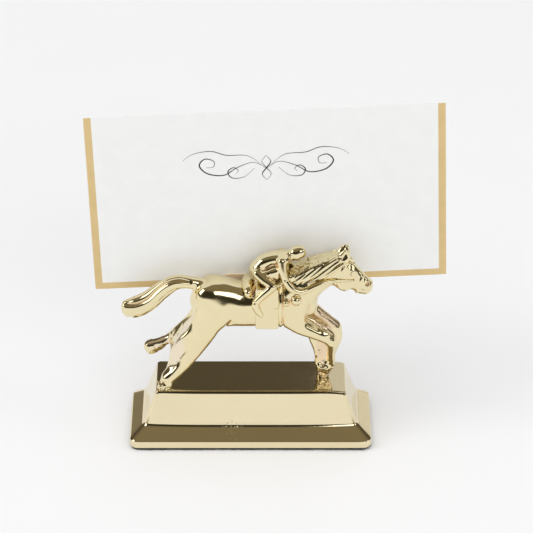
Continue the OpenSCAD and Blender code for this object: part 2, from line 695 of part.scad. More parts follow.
// Rear leaf: a foot flat on the front leaf, a step that the card stands on, a jaw
// and a flared lip
module clip_rear_leaf() {
    foot_y = clip_front_y + clip_t;
    jaw_y = slot_gap / 2;
    lip_z = slot_depth - lip_l;
    color(rose_brass_colour)
        in_clip_place()
            difference() {
                rotate([90, 0, 90])
                    linear_extrude(clip_w, center = true)
                        union() {
                            translate([foot_y, -clip_foot])
                                square([clip_t, clip_foot]);
                            translate([foot_y, -clip_t])
                                square([jaw_y + clip_t - foot_y, clip_t]);
                            translate([jaw_y, -clip_t])
                                square([clip_t, lip_z + clip_t]);
                            translate([jaw_y, lip_z])
                                rotate(-lip_tilt)
                                    square([clip_t, lip_l]);
                        }
                rivet_holes();
            }
}

module clip_rivets() {
    color(rose_brass_colour)
        in_clip_place()
            at_rivets()
                rotate([-90, 0, 0]) {
                    translate([0, 0, clip_front_y - rivet_grip])
                        cylinder(d = rivet_d, h = rivet_grip + 2 * clip_t, $fn = round_fn);
                    translate([0, 0, clip_front_y + 2 * clip_t])
                        rotate_extrude($fn = round_fn)
                            intersection() {
                                translate([0, -rivet_head_h])
                                    scale([rivet_head_d / 2, 2 * rivet_head_h])
                                        circle(r = 1, $fn = round_fn);
                                square([rivet_head_d, rivet_head_h]);
                            }
                }
}

// Card: its leaves meet in a rounded fold along their upper edge
fold_r = card_t + fold_in;
fold_y = card_t / 2 + fold_in;
fold_z = card_h - fold_r;
// Height of its lower edge's middle, with the edge just clear of the slot's floor at
// the clip's left end
card_low = card_gap + (card_x - clip_x + clip_w / 2) * sin(card_roll);

module in_card_place() {
    in_clip_place()
        translate([card_x - clip_x, 0, card_low])
            rotate([0, -card_roll, 0])
                children();
}

module card_front_leaf() {
    color(card_colour)
        in_card_place()
            translate([-card_w / 2, -card_t / 2, 0])
                cube([card_w, card_t, card_h - 2 * fold_r - card_gap]);
}

module card_rear_leaf() {
    color(card_colour)
        in_card_place()
            translate([0, fold_y, fold_z])
                rotate([fold_angle, 0, 0]) {
                    rotate([0, 90, 0])
                        cylinder(r = fold_r, h = card_w, center = true, $fn = round_fn);
                    translate([-card_w / 2, fold_r - card_t, -fold_z])
                        cube([card_w, card_t, fold_z]);
                }
}

base_casting();
felt_pad();
horse_casting();
jockey_casting();
hoof_screws();
screw_washers();
clip_front_leaf();
clip_rear_leaf();
clip_rivets();
card_front_leaf();
card_rear_leaf();
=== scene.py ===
import math

import bmesh
import bpy
import numpy as np
from mathutils import Matrix, Vector


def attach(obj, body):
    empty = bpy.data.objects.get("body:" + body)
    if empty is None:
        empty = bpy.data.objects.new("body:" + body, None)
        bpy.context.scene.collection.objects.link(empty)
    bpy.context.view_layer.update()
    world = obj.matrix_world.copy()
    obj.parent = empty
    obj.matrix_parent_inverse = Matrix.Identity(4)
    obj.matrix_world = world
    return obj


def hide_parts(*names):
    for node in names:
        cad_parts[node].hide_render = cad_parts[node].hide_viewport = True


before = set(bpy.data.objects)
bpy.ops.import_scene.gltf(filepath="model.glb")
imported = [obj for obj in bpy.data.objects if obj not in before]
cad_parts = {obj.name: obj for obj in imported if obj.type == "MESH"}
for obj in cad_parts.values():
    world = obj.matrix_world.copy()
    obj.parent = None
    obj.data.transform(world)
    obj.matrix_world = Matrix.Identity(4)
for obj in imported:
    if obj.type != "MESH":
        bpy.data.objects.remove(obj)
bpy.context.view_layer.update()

MM = 0.001
# Grid step of the sculpted castings, in mm
STEP = 0.15
# Distance that stands for no clay nearby, and how far past a shape it is worked out
EMPTY, MARGIN = 9.0, 0.5

# Driving sizes in mm, and angles in degrees
BASE_L, BASE_D, BASE_H = 61.4, 25.0, 14.7
BEVEL_IN, BEVEL_UP, BAND_TOP = 3.5, 2.75, 2.8
PLINTH_IN_X, PLINTH_IN_Y = 3.25, 1.7
SCREWS = ((-21.65, -5.25), (18.55, 0.75))
FELT_T, FELT_IN = 0.8, 0.45
# The clip: middle of its slot's floor, turn, lean, half length, front face, rivets
CLIP_AT, CLIP_TURN, CLIP_LEAN = (2.0, 6.725, 38.2), 1.6, 4.0
CLIP_HALF, CLIP_FACE, RIVET_X, RIVET_Z = 9.0, -0.725, 5.0, -2.725
# The card, its shift along the slot, tilt in it and gap under it, and its gold border
CARD_W, CARD_H, CARD_T = 88.9, 50.8, 0.35
CARD_SHIFT, CARD_TILT, CARD_GAP, BORDER = 3.2, 2.0, 0.1, 1.85
# Inner radius of the fold, the angle between the leaves, and how far the rear leaf's
# edge is drawn in round the fold
FOLD_IN, FOLD_ANGLE, FOLD_DRAWN = 0.05, 5.0, 0.1
FOLD_R = CARD_T + FOLD_IN


def clip_place():
    """Place of the clip in mm: its slot's floor, with the card's lean and turn."""
    return (Matrix.Translation(CLIP_AT) @ Matrix.Rotation(math.radians(CLIP_TURN), 4, "Z")
            @ Matrix.Rotation(math.radians(CLIP_LEAN), 4, "X"))


def card_place():
    low = CARD_GAP + (CARD_SHIFT + CLIP_HALF) * math.sin(math.radians(CARD_TILT))
    return (clip_place() @ Matrix.Translation((CARD_SHIFT, 0, low))
            @ Matrix.Rotation(math.radians(-CARD_TILT), 4, "Y"))


# Materials


def nodes_of(name):
    mat = bpy.data.materials.new(name)
    mat.use_nodes = True
    tree = mat.node_tree
    tree.nodes.clear()
    out = tree.nodes.new("ShaderNodeOutputMaterial")
    shader = tree.nodes.new("ShaderNodeBsdfPrincipled")
    tree.links.new(shader.outputs["BSDF"], out.inputs["Surface"])
    return mat, tree, shader


def wire(tree, socket, source):
    """Links an output to a socket, or sets the socket's own value."""
    if isinstance(source, bpy.types.NodeSocket):
        tree.links.new(source, socket)
    else:
        socket.default_value = source


def feed(tree, shader, **sources):
    for name, source in sources.items():
        wire(tree, shader.inputs[name.replace("_", " ")], source)


def add(tree, kind, **values):
    """A new node with its properties set, and its inputs (in_ and their name or number)."""
    node = tree.nodes.new(kind)
    for key, value in values.items():
        if key.startswith("in_"):
            name = key[3:].replace("_", " ")
            wire(tree, node.inputs[int(name) if name.isdigit() else name], value)
        else:
            setattr(node, key, value)
    return node


def place_coords(tree, scale=(1, 1, 1), rotation=(0, 0, 0)):
    """The object's own coordinates in mm, stretched by scale."""
    place = add(tree, "ShaderNodeTexCoord").outputs["Object"]
    return add(tree, "ShaderNodeMapping", in_Vector=place, in_Scale=[1000 * s for s in scale],
               in_Rotation=rotation).outputs["Vector"]


def noise(tree, vector, scale, detail=3, rough=0.5):
    return add(tree, "ShaderNodeTexNoise", in_Vector=vector, in_Scale=scale, in_Detail=detail,
               in_Roughness=rough).outputs["Fac"]


def ramp(tree, value, stops):
    node = add(tree, "ShaderNodeValToRGB", in_Fac=value)
    ends = node.color_ramp.elements
    while len(ends) < len(stops):
        ends.new(0.5)
    for end, (place, colour) in zip(ends, stops):
        end.position = place
        end.color = (*colour, 1)
    return node.outputs["Color"]


def remap(tree, value, low, high, to_low, to_high):
    return add(tree, "ShaderNodeMapRange", in_Value=value, in_From_Min=low, in_From_Max=high,
               in_To_Min=to_low, in_To_Max=to_high).outputs["Result"]


def mixed(tree, fac, a, b):
    node = add(tree, "ShaderNodeMix", data_type="RGBA")
    for number, value in ((0, fac), (6, a), (7, b)):
        wire(tree, node.inputs[number], (*value, 1) if isinstance(value, (tuple, list)) else value)
    return node.outputs[2]


def bump(tree, height, amount, normal=None):
    """Relief of amount mm."""
    node = add(tree, "ShaderNodeBump", in_Height=height, in_Strength=1.0, in_Distance=amount * MM)
    if normal is not None:
        wire(tree, node.inputs["Normal"], normal)
    return node.outputs["Normal"]


def nicked(tree, spot, radius, relief):
    """Small dents on top of a relief, within a radius of a spot, both in m."""
    place = add(tree, "ShaderNodeTexCoord").outputs["Object"]
    far = add(tree, "ShaderNodeVectorMath", operation="DISTANCE", in_0=place, in_1=spot)
    near = remap(tree, far.outputs["Value"], radius, 0.5 * radius, 0, 1)
    grain = noise(tree, place_coords(tree, (1, 0.6, 1), (0, 0.5, 0.4)), 1.5, 3, 0.6)
    nicks = remap(tree, grain, 0.34, 0.44, 0, 1)
    return bump(tree, mixed(tree, near, (1.0, 1.0, 1.0), nicks), 0.014, relief)


def polished_metal(name, light, deep, gloss, wave, pit=0.002, cavity=None, scuff=None, metallic=1.0):
    """Hand-polished metal: faint waviness, fine wiping scratches and tiny pits. With a
    cavity colour, it gets redder and duller where the wheel doesn't reach, from the
    mesh's attributes."""
    mat, tree, shader = nodes_of(name)
    place = place_coords(tree)
    tone = mixed(tree, noise(tree, place, 0.12, 2), light, deep)
    smears = noise(tree, place_coords(tree, (0.5, 1, 1.6), (0.2, 0.4, 0.3)), 0.5, 5, 0.6)
    rough = remap(tree, smears, 0.3, 0.7, *gloss)
    if cavity:
        for attribute, colour, amount in (("cavity", cavity, 0.16), ("as_cast", AS_CAST, 0.1)):
            depth = add(tree, "ShaderNodeAttribute", attribute_name=attribute).outputs["Fac"]
            tone = mixed(tree, depth, tone, colour)
            rough = add(tree, "ShaderNodeMath", operation="MULTIPLY_ADD", in_0=depth, in_1=amount,
                        in_2=rough).outputs[0]
    waves = bump(tree, noise(tree, place, 0.33, 1, 0.4), wave)
    scratches = noise(tree, place_coords(tree, (0.25, 5, 5), (0.1, 0.5, 0.35)), 2.0, 3, 0.6)
    pits = remap(tree, noise(tree, place, 2.6, 2, 0.5), 0.26, 0.36, 0, 1)
    worn = bump(tree, pits, pit, bump(tree, scratches, 0.0012, waves))
    if scuff:
        worn = nicked(tree, *scuff, worn)
    feed(tree, shader, Base_Color=tone, Roughness=rough, Metallic=metallic, Normal=worn)
    return mat


AS_CAST = (0.88, 0.77, 0.62)
polished_brass = polished_metal(
    "polished_brass", (0.83, 0.735, 0.475), (0.86, 0.75, 0.47), (0.07, 0.13), 0.006, 0.004,
    cavity=(0.84, 0.61, 0.37)
)
base_brass = polished_metal(
    "polished_brass_flat", (0.86, 0.755, 0.51), (0.84, 0.73, 0.485), (0.05, 0.1), 0.004,
    scuff=((-0.0045, -0.0112, 0.0042), 0.0045)
)
rose_brass = polished_metal(
    "rose_brass", (0.95, 0.78, 0.58), (0.93, 0.76, 0.57), (0.42, 0.5), 0.003, metallic=0.35
)
steel = polished_metal("steel", (0.62, 0.62, 0.64), (0.55, 0.55, 0.57), (0.22, 0.34), 0.002)


def felt_material():
    mat, tree, shader = nodes_of("felt")
    strands = noise(tree, place_coords(tree, (1, 1, 3)), 3.2, 6, 0.75)
    tone = ramp(tree, strands, [
        (0.3, (0.006, 0.006, 0.006)), (0.62, (0.022, 0.021, 0.020)), (0.8, (0.06, 0.058, 0.055))])
    clumps = bump(tree, noise(tree, place_coords(tree), 1.2, 4, 0.7), 0.12)
    feed(tree, shader, Base_Color=tone, Roughness=remap(tree, strands, 0, 1, 0.85, 1.0), Sheen_Weight=0.5,
         Sheen_Roughness=0.6, Specular_IOR_Level=0.15, Normal=bump(tree, strands, 0.06, clumps))
    return mat


def paper_material(name, colour, shade, tooth, specks):
    """Card stock: a faint cloud in the pulp, single fibres and the paper's tooth."""
    mat, tree, shader = nodes_of(name)
    cloud = noise(tree, place_coords(tree), 0.25, 4, 0.6)
    grain = noise(tree, place_coords(tree, (1, 1, 0.6)), 4.5, 5, 0.7)
    tone = mixed(tree, remap(tree, cloud, 0.35, 0.65, 0, 1), colour, shade)
    tone = mixed(tree, remap(tree, grain, 0.55, 0.8, 0, specks), tone, [c * 0.78 for c in shade])
    feed(tree, shader, Base_Color=tone, Roughness=remap(tree, grain, 0, 1, 0.72, 0.9),
         Specular_IOR_Level=0.25, Normal=bump(tree, grain, tooth))
    return mat


felt = felt_material()
card_white = paper_material("card_stock", (0.87, 0.875, 0.86), (0.85, 0.855, 0.845), 0.012, 0.25)
card_gold = paper_material("card_gold_border", (0.70, 0.525, 0.26), (0.66, 0.49, 0.235), 0.012, 0.5)
ink = paper_material("pen_ink", (0.022, 0.021, 0.022), (0.05, 0.048, 0.048), 0.006, 0.6)


# Mesh helpers


def piece(name, verts, faces, material, body, normals=None, replaces=()):
    """A piece from points in mm, riding a body and taking its finish from a slot."""
    mesh = bpy.data.meshes.new(name)
    mesh.from_pydata((np.asarray(verts, float) * MM).tolist(), [], [list(map(int, f)) for f in faces])
    for mat in material if isinstance(material, list) else [material]:
        mesh.materials.append(mat)
    mesh.polygons.foreach_set("use_smooth", [True] * len(mesh.polygons))
    mesh.update()
    if normals is not None:
        mesh.normals_split_custom_set_from_vertices(normals.tolist())
    obj = bpy.data.objects.new(name, mesh)
    bpy.context.scene.collection.objects.link(obj)
    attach(obj, body)
    if replaces:
        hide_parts(*replaces)
    return obj


def ring_faces(rings, n, start=0):
    """Quads between closed rings of n points each."""
    faces = []
    for i in range(rings - 1):
        for j in range(n):
            a, b = start + i * n + j, start + i * n + (j + 1) % n
            faces.append((a, b, b + n, a + n))
    return faces


def close_ends(verts, faces, n, low, high):
    """A fan over the first ring and one over the last, round a middle point each."""
    top = len(verts) - n
    verts += [low, high]
    for j in range(n):
        faces.append((top + n, (j + 1) % n, j))
        faces.append((top + n + 1, top + j, top + (j + 1) % n))


def sharpen(obj, degrees):
    """Normals out, and sharp edges where two faces meet at a larger angle."""
    bm = bmesh.new()
    bm.from_mesh(obj.data)
    bmesh.ops.recalc_face_normals(bm, faces=bm.faces)
    for edge in bm.edges:
        if len(edge.link_faces) == 2 and edge.calc_face_angle(0) > math.radians(degrees):
            edge.smooth = False
    bm.to_mesh(obj.data)
    bm.free()


def bevel_edges(obj, width):
    mod = obj.modifiers.new("edges", "BEVEL")
    mod.width = width * MM
    mod.segments = 2
    mod.limit_method = "ANGLE"
    mod.angle_limit = math.radians(40)
    mod.harden_normals = True


def corner_arcs(hx, hy, r, steps):
    """The four corner arcs of a rounded rectangle, as points with their normals."""
    arcs = []
    for sx, sy, start in ((1, 1, 0), (-1, 1, 90), (-1, -1, 180), (1, -1, 270)):
        turns = [math.radians(start + 90 * k / steps) for k in range(steps + 1)]
        arcs.append([(sx * (hx - r) + r * math.cos(a), sy * (hy - r) + r * math.sin(a),
                      math.cos(a), math.sin(a)) for a in turns])
    return arcs


def smooth_rows(rows, steps):
    """Catmull-Rom rows through the given ones."""
    rows = np.asarray(rows, float)
    n = len(rows)
    out = []
    for i in range(n - 1):
        p0, p1, p2, p3 = rows[max(i - 1, 0)], rows[i], rows[i + 1], rows[min(i + 2, n - 1)]
        for k in range(steps):
            t = k / steps
            out.append(0.5 * (2 * p1 + (p2 - p0) * t + (2 * p0 - 5 * p1 + 4 * p2 - p3) * t * t
                              + (3 * p1 - p0 - 3 * p2 + p3) * t ** 3))
    out.append(rows[-1])
    return np.array(out)


# Sculpting clay

SIDES = {False: (1,), True: (1, -1)}
CORNERS = np.array([(a, b, c) for a in (0, 1) for b in (0, 1) for c in (0, 1)])


def dot(parts, way):
    return sum(part * k for part, k in zip(parts, way))


def oval_distance(shares, radii, power=2):
    """Rough distance to an oval body, from offsets as shares of its radii. A power
    over 2 makes its section squarer."""
    e, f, g = shares
    flat = e * e + f * f if power == 2 else (np.abs(e) ** power + np.abs(f) ** power) ** (2 / power)
    k0 = np.sqrt(flat + g * g)
    k1 = np.sqrt(sum((share / r) ** 2 for share, r in zip(shares, radii))) + 1e-6
    return k0 * (k0 - 1) / k1


def line_profile(grids, line, width, crisp, taper):
    """Depth of a drawn line as a share, fading over the taper share at its ends."""
    best, place = 99.0, 0.0
    lengths = np.concatenate([[0], np.cumsum(np.linalg.norm(np.diff(line, axis=0), axis=1))])
    for i in range(len(line) - 1):
        v = line[i + 1] - line[i]
        off = [grid - k for grid, k in zip(grids, line[i])]
        t = np.clip(dot(off, v) / (v @ v), 0, 1)
        r = np.sqrt(sum((o - t * k) ** 2 for o, k in zip(off, v)))
        place = np.where(r < best, (lengths[i] + t * (lengths[i + 1] - lengths[i])) / lengths[-1], place)
        best = np.minimum(best, r)
    profile = np.exp(-(best / width) ** crisp)
    if taper:
        profile *= np.sqrt(np.clip(place / taper, 0, 1) * np.clip((1 - place) / taper, 0, 1))
    return profile.astype(np.float32)


class Clay:
    """A solid as a grid of signed distances in mm. Rods and balls of clay are pressed
    on with soft joints, grooves are cut and ridges raised, and a mesh is taken off."""

    def __init__(self, low, count, field=None):
        self.low, self.count = np.array(low, np.float32), np.array(count)
        self.field = np.full(self.count, EMPTY, np.float32) if field is None else field

    def part(self, low, high):
        """A new grid over a window of this one, and this one's distances there."""
        span, _ = self.window(low, high)
        start = np.array([s.start for s in span], np.float32)
        return Clay(self.low + STEP * start, [s.stop - s.start for s in span]), self.field[span]

    def window(self, low, high):
        """Slices of the grid between two corners, and the coordinates there."""
        a = np.floor((np.array(low) - self.low) / STEP).astype(int)
        b = np.ceil((np.array(high) - self.low) / STEP).astype(int) + 1
        a = np.clip(a, 0, self.count - 2)
        b = np.clip(b, a + 2, self.count)
        axes = [self.low[i] + STEP * np.arange(a[i], b[i], dtype=np.float32) for i in range(3)]
        return tuple(slice(p, q) for p, q in zip(a, b)), np.ix_(*axes)

    def near(self, points, reach):
        return self.window(np.min(points, 0) - reach, np.max(points, 0) + reach)

    def everywhere(self):
        return self.window(self.low, self.low + STEP * self.count)[1]

    def press(self, span, shape, soft, away=False):
        """Joins a shape with a soft joint, or takes it away."""
        sign = -1 if away else 1
        here = sign * self.field[span]
        near = np.maximum(soft - np.abs(here - shape), 0) / soft
        self.field[span] = sign * (np.minimum(here, shape) - near * near * (soft / 4))

    def sweep(self, starts, ends, reaches, distance):
        """Least distance to a row of segments, each worked out within its own reach."""
        span, _ = self.near(np.concatenate([starts, ends]), max(reaches))
        out = np.full([s.stop - s.start for s in span], EMPTY, np.float32)
        for i, (p, q, reach) in enumerate(zip(starts, ends, reaches)):
            sub, grids = self.near((p, q), reach)
            inner = tuple(slice(s.start - o.start, s.stop - o.start) for s, o in zip(sub, span))
            off = [grid - np.float32(k) for grid, k in zip(grids, p)]
            np.minimum(out[inner], distance(i, off), out=out[inner])
        return span, out

    def rod(self, rows, soft=0.8, steps=5, power=2, both=False, away=False):
        """A body of elliptical sections along a smooth path of rows
        (x, y, z, half width, half thickness)."""
        for side in SIDES[both]:
            path = smooth_rows(np.asarray(rows, float) * [1, side, 1, 1, 1], steps)
            point, size = path[:, :3], np.maximum(path[:, 3:5], 0.05)
            way = np.gradient(point, axis=0)
            way /= np.linalg.norm(way, axis=1)[:, None]
            wide = np.array([0, 1, 0]) - way[:, 1:2] * way
            wide /= np.linalg.norm(wide, axis=1)[:, None]

            def distance(i, off):
                seg = (point[i + 1] - point[i]).astype(np.float32)
                length = np.float32(np.linalg.norm(seg))
                d = seg / length
                w = (wide[i] + wide[i + 1]).astype(np.float32)
                w -= (w @ d) * d
                w /= np.linalg.norm(w)
                along = dot(off, d)
                t = np.clip(along / length, 0, 1)
                a, b = (size[i, k] + t * np.float32(size[i + 1, k] - size[i, k]) for k in (0, 1))
                over = along - t * length
                # Full round ends, and short ones where the next segment goes on
                first, last = (np.float32(1.0 if end else 0.3) for end in (i == 0, i == len(point) - 2))
                least = np.minimum(a, b)
                g = over / (least * np.where(over < 0, first, last))
                return oval_distance((dot(off, w) / a, dot(off, np.cross(d, w)) / b, g), (a, b, least), power)

            reaches = [size[i:i + 2].max() + soft + MARGIN for i in range(len(path) - 1)]
            self.press(*self.sweep(point[:-1], point[1:], reaches, distance), soft, away)

    def ball(self, centre, size, soft=0.6, both=False, away=False, tilt=0.0):
        """An ellipsoid, tilted about Y by tilt degrees."""
        c, s = math.cos(math.radians(tilt)), math.sin(math.radians(tilt))
        for side in SIDES[both]:
            mid = np.array(centre, float) * [1, side, 1]
            span, grids = self.near([mid], max(size) + soft + MARGIN)
            dx, dy, dz = (grid - np.float32(k) for grid, k in zip(grids, mid))
            shares = (dx * c + dz * s) / size[0], dy / size[1], (dz * c - dx * s) / size[2]
            self.press(span, oval_distance(shares, size), soft, away)

    def sheet(self, line_a, line_b, radius, soft):
        """A web of metal of that half thickness between two lines through space."""
        lines = [smooth_rows(line, 8) for line in (line_a, line_b)]
        longest = max(np.linalg.norm(np.diff(line, axis=0), axis=1).sum() for line in lines)
        count = int(longest / 0.35) + 2
        starts, ends = (
            np.stack([np.interp(np.linspace(0, len(line) - 1, count), np.arange(len(line)), values)
                      for values in line.T], 1) for line in lines)

        def distance(i, off):
            v = (ends[i] - starts[i]).astype(np.float32)
            t = np.clip(dot(off, v) / (v @ v), 0, 1)
            return np.sqrt(sum((o - t * k) ** 2 for o, k in zip(off, v))) - np.float32(radius)

        self.press(*self.sweep(starts, ends, [radius + soft + MARGIN] * count, distance), soft)

    def stroke(self, points, width, height, over=(0.2, 30), taper=0.2, crisp=2.0):
        """A line drawn on both flanks in side view, by points (x, z): raised by height,
        or cut where height is below zero. over is its range of distance from y = 0."""
        line = smooth_rows(points, 6)
        reach, (y0, y1) = 2.2 * width, over
        (x0, z0), (x1, z1) = line.min(0) - reach, line.max(0) + reach
        span, (x, y, z) = self.window([x0, -y1, z0], [x1, y1, z1])
        profile = line_profile((x, z), line, width, crisp, taper)
        mask = np.clip((np.abs(y) - y0) / 0.3 + 0.5, 0, 1) * np.clip((y1 - np.abs(y)) / 0.3 + 0.5, 0, 1)
        self.field[span] -= np.float32(height) * profile * mask

    def groove(self, points, width, height):
        """A line through space, raised by height or cut where height is below zero."""
        line = smooth_rows(points, 5)
        span, grids = self.near(line, 2.2 * width)
        self.field[span] -= np.float32(height) * line_profile(grids, line, width, 2, 0.2)

    def roughen(self, centre, size, amount, grain):
        """Hammered, as-cast relief of about amount mm over an ellipsoid."""
        centre, size = np.array(centre, float), np.array(size, float)
        span, grids = self.window(centre - size, centre + size)
        mask = 1 - sum(((grid - c) / s) ** 2 for grid, c, s in zip(grids, centre, size))
        relief = np.zeros(mask.shape, np.float32)
        rng = np.random.default_rng(3)
        for cell, share in ((grain, 1.0), (0.5 * grain, 0.4)):
            count = np.ceil(2 * size / cell).astype(int) + 3
            lattice = rng.normal(0, 1, count).astype(np.float32)
            for axis, line in enumerate(grids):
                g = np.clip((line - centre[axis] + size[axis]) / cell, 0, count[axis] - 1.001)
                i = g.astype(int)
                f = (g - i).astype(np.float32)
                f = f * f * (3 - 2 * f)
                i = i.ravel()
                lattice = np.take(lattice, i, axis) * (1 - f) + np.take(lattice, i + 1, axis) * f
            relief += share * lattice
        self.field[span] -= np.float32(amount) * np.clip(mask * 2.5, 0, 1) * relief

    def blur(self, radius):
        sigma = radius / STEP
        k = max(1, int(math.ceil(2.5 * sigma)))
        weights = np.exp(-0.5 * (np.arange(-k, k + 1) / sigma) ** 2)
        weights = (weights / weights.sum()).astype(np.float32)
        for axis in range(3):
            padded = np.pad(self.field, [(k, k) if i == axis else (0, 0) for i in range(3)], mode="edge")
            total = np.zeros_like(self.field)
            for j, weight in enumerate(weights):
                cut = [slice(None)] * 3
                cut[axis] = slice(j, j + self.field.shape[axis])
                total += weight * padded[tuple(cut)]
            self.field = total

    def sample(self, points):
        g = np.clip((points - self.low) / STEP, 0, self.count - 1.001)
        i = g.astype(int)
        f = (g - i).astype(np.float32)
        return sum(np.abs(1 - corner - f).prod(1) * self.field[tuple((i + corner).T)] for corner in CORNERS)

    def slope(self, points, reach=1.0):
        out = np.zeros((len(points), 3), np.float32)
        for axis, off in enumerate(reach * STEP * np.eye(3, dtype=np.float32)):
            out[:, axis] = (self.sample(points + off) - self.sample(points - off)) / (2 * reach * STEP)
        return out

    def surface(self):
        """Points, quads and normals of the surface."""
        inside = self.field < 0
        n = self.count - 1
        count = sum(inside[a:a + n[0], b:b + n[1], c:c + n[2]].astype(np.uint8) for a, b, c in CORNERS)
        active = (count > 0) & (count < 8)
        cells = np.argwhere(active)
        index = np.full(n, -1, np.int32)
        index[active] = np.arange(len(cells))
        values = [self.field[tuple((cells + corner).T)] for corner in CORNERS]
        total = np.zeros((len(cells), 3), np.float32)
        hits = np.zeros(len(cells), np.float32)
        for p, q in [(p, p | bit) for p in range(8) for bit in (1, 2, 4) if not p & bit]:
            cross = (values[p] < 0) != (values[q] < 0)
            t = np.where(cross, values[p] / np.where(cross, values[p] - values[q], 1), 0)[:, None]
            total += np.where(cross[:, None], CORNERS[p] + t * (CORNERS[q] - CORNERS[p]), 0)
            hits += cross
        points = self.low + STEP * (cells + total / hits[:, None])
        # Each point is drawn to where the distance is zero
        for _ in range(3):
            g = self.slope(points, 0.7)
            move = (self.sample(points) / np.maximum((g * g).sum(1), 0.2))[:, None] * g
            points = points - np.clip(move, -0.4 * STEP, 0.4 * STEP)
        quads = []
        for axis in range(3):
            b, c = [i for i in range(3) if i != axis]
            first = np.take(inside, range(n[axis]), axis)
            edges = np.argwhere(first != np.take(inside, range(1, n[axis] + 1), axis))
            edges = edges[(edges[:, b] > 0) & (edges[:, c] > 0) & (edges[:, b] < n[b]) & (edges[:, c] < n[c])]
            ring = []
            for db, dc in ((-1, -1), (0, -1), (0, 0), (-1, 0)):
                cell = edges.copy()
                cell[:, b] += db
                cell[:, c] += dc
                ring.append(index[tuple(cell.T)])
            ring = np.stack(ring, 1)
            outward = first[tuple(edges.T)] ^ (axis == 1)
            quads.append(np.where(outward[:, None], ring, ring[:, ::-1]))
        g = self.slope(points)
        return points, np.concatenate(quads), g / np.maximum(np.linalg.norm(g, axis=1), 1e-6)[:, None]


def casting(clay, name, body, material, replaces, raw=()):
    """The mesh of a sculpted casting, with the depth of its hollows and the share of
    unpolished skin as attributes. raw lists ellipsoids as (centre, size, share of
    skin, share of hollow)."""
    points, quads, normals = clay.surface()
    smoothed = Clay(clay.low, clay.count, np.clip(clay.field, -1.5, 1.5))
    smoothed.blur(0.55)
    obj = piece(name, points, quads, material, body, normals, replaces)
    hollow = np.clip((clay.sample(points) - smoothed.sample(points) - 0.02) * 7, 0, 1)
    skin = np.zeros(len(points))
    for centre, size, skin_share, hollow_share in raw:
        inside = np.clip(2.2 - 2.2 * (((points - centre) / np.array(size)) ** 2).sum(1), 0, 1)
        skin = np.maximum(skin, skin_share * inside)
        hollow = np.maximum(hollow, hollow_share * inside)
    for attribute, values in (("cavity", hollow), ("as_cast", skin)):
        layer = obj.data.attributes.new(attribute, "FLOAT", "POINT")
        layer.data.foreach_set("value", values.astype(np.float32))


# Horse. Rows of limbs are (x, y, z, half width, half thickness) in mm

BARREL = [
    (-12.25, 0, 38.32, 2.75, 3.84), (-10.62, 0, 38.05, 4.38, 5.68), (-7.5, 0, 37.59, 5.0, 6.07),
    (-3.0, 0, 36.8, 4.7, 5.6), (2.0, 0, 36.85, 4.7, 5.6), (7.0, 0, 37.16, 4.8, 5.99),
    (11.0, 0, 37.55, 4.4, 5.76), (13.62, 0, 37.74, 3.25, 4.15)]
NECK = [
    (8.0, 0, 38.51, 4.2, 5.61), (12.0, 0, 41.1, 3.9, 5.4), (16.25, 0, 44.2, 2.95, 4.5),
    (20.12, 0, 46.3, 2.35, 3.75), (22.62, 0, 47.0, 2.15, 3.3)]
HEAD = [
    (22.0, 0, 45.75, 2.1, 3.84), (24.0, 0, 44.5, 2.1, 3.95), (26.3, 0, 43.2, 1.75, 3.0),
    (28.0, 0, 42.1, 1.6, 2.4), (29.15, 0, 41.45, 1.55, 2.0)]
TAIL = [
    (-12.19, 0, 41.58, 1.38, 1.73), (-15.25, 0, 42.4, 1.55, 1.6), (-18.75, 0, 42.35, 1.65, 1.95),
    (-22.3, 0, 40.0, 1.8, 2.3), (-25.5, 0, 37.1, 1.95, 2.6), (-28.6, 0, 35.3, 1.95, 2.85),
    (-30.9, 0, 34.9, 1.7, 2.35)]
NEAR_HIND = [
    (-8.88, -2.5, 37.16, 2.38, 4.61), (-10.19, -3.5, 33.67, 2.19, 3.72),
    (-11.1, -4.1, 30.5, 1.9, 2.75), (-12.95, -4.5, 26.8, 1.5, 2.0),
    (-15.8, -4.8, 22.6, 1.3, 1.5), (-18.7, -5.0, 19.2, 1.2, 1.3),
    (-21.1, -5.19, 17.1, 1.25, 1.3)]
NEAR_HIND_HOOF = [(-21.44, -5.19, 16.62, 1.3, 1.3), (-22.0, -5.25, 13.93, 1.75, 1.92)]
FAR_HIND = [
    (-8.88, 2.5, 37.16, 2.38, 4.61), (-11.25, 3.5, 32.94, 2.12, 3.46),
    (-14.25, 4.25, 28.91, 1.75, 2.38), (-18.0, 4.44, 25.68, 1.38, 1.6),
    (-21.12, 4.38, 23.15, 1.2, 1.15), (-22.62, 4.38, 22.07, 1.25, 1.2)]
FAR_HIND_HOOF = [(-23.3, 4.38, 21.7, 1.45, 1.6), (-25.62, 4.38, 20.69, 1.6, 2.0)]
NEAR_FORE = [
    (10.0, -2.62, 37.93, 2.19, 4.61), (10.62, -3.25, 34.36, 2.1, 3.46),
    (12.31, -3.31, 31.6, 1.88, 2.11), (15.75, -3.0, 29.41, 1.5, 1.5),
    (19.0, -2.38, 27.37, 1.31, 1.34), (20.44, -2.0, 25.84, 1.25, 1.23),
    (20.5, -1.25, 22.76, 1.06, 1.0), (20.56, -0.5, 19.62, 1.06, 1.04), (20.0, 0, 18.16, 1.23, 1.23)]
FORE_HOOF = [(19.6, 0.1, 18.0, 1.4, 1.45), (18.7, 0.4, 16.2, 1.6, 1.6), (18.1, 0.7, 13.9, 1.7, 1.55)]
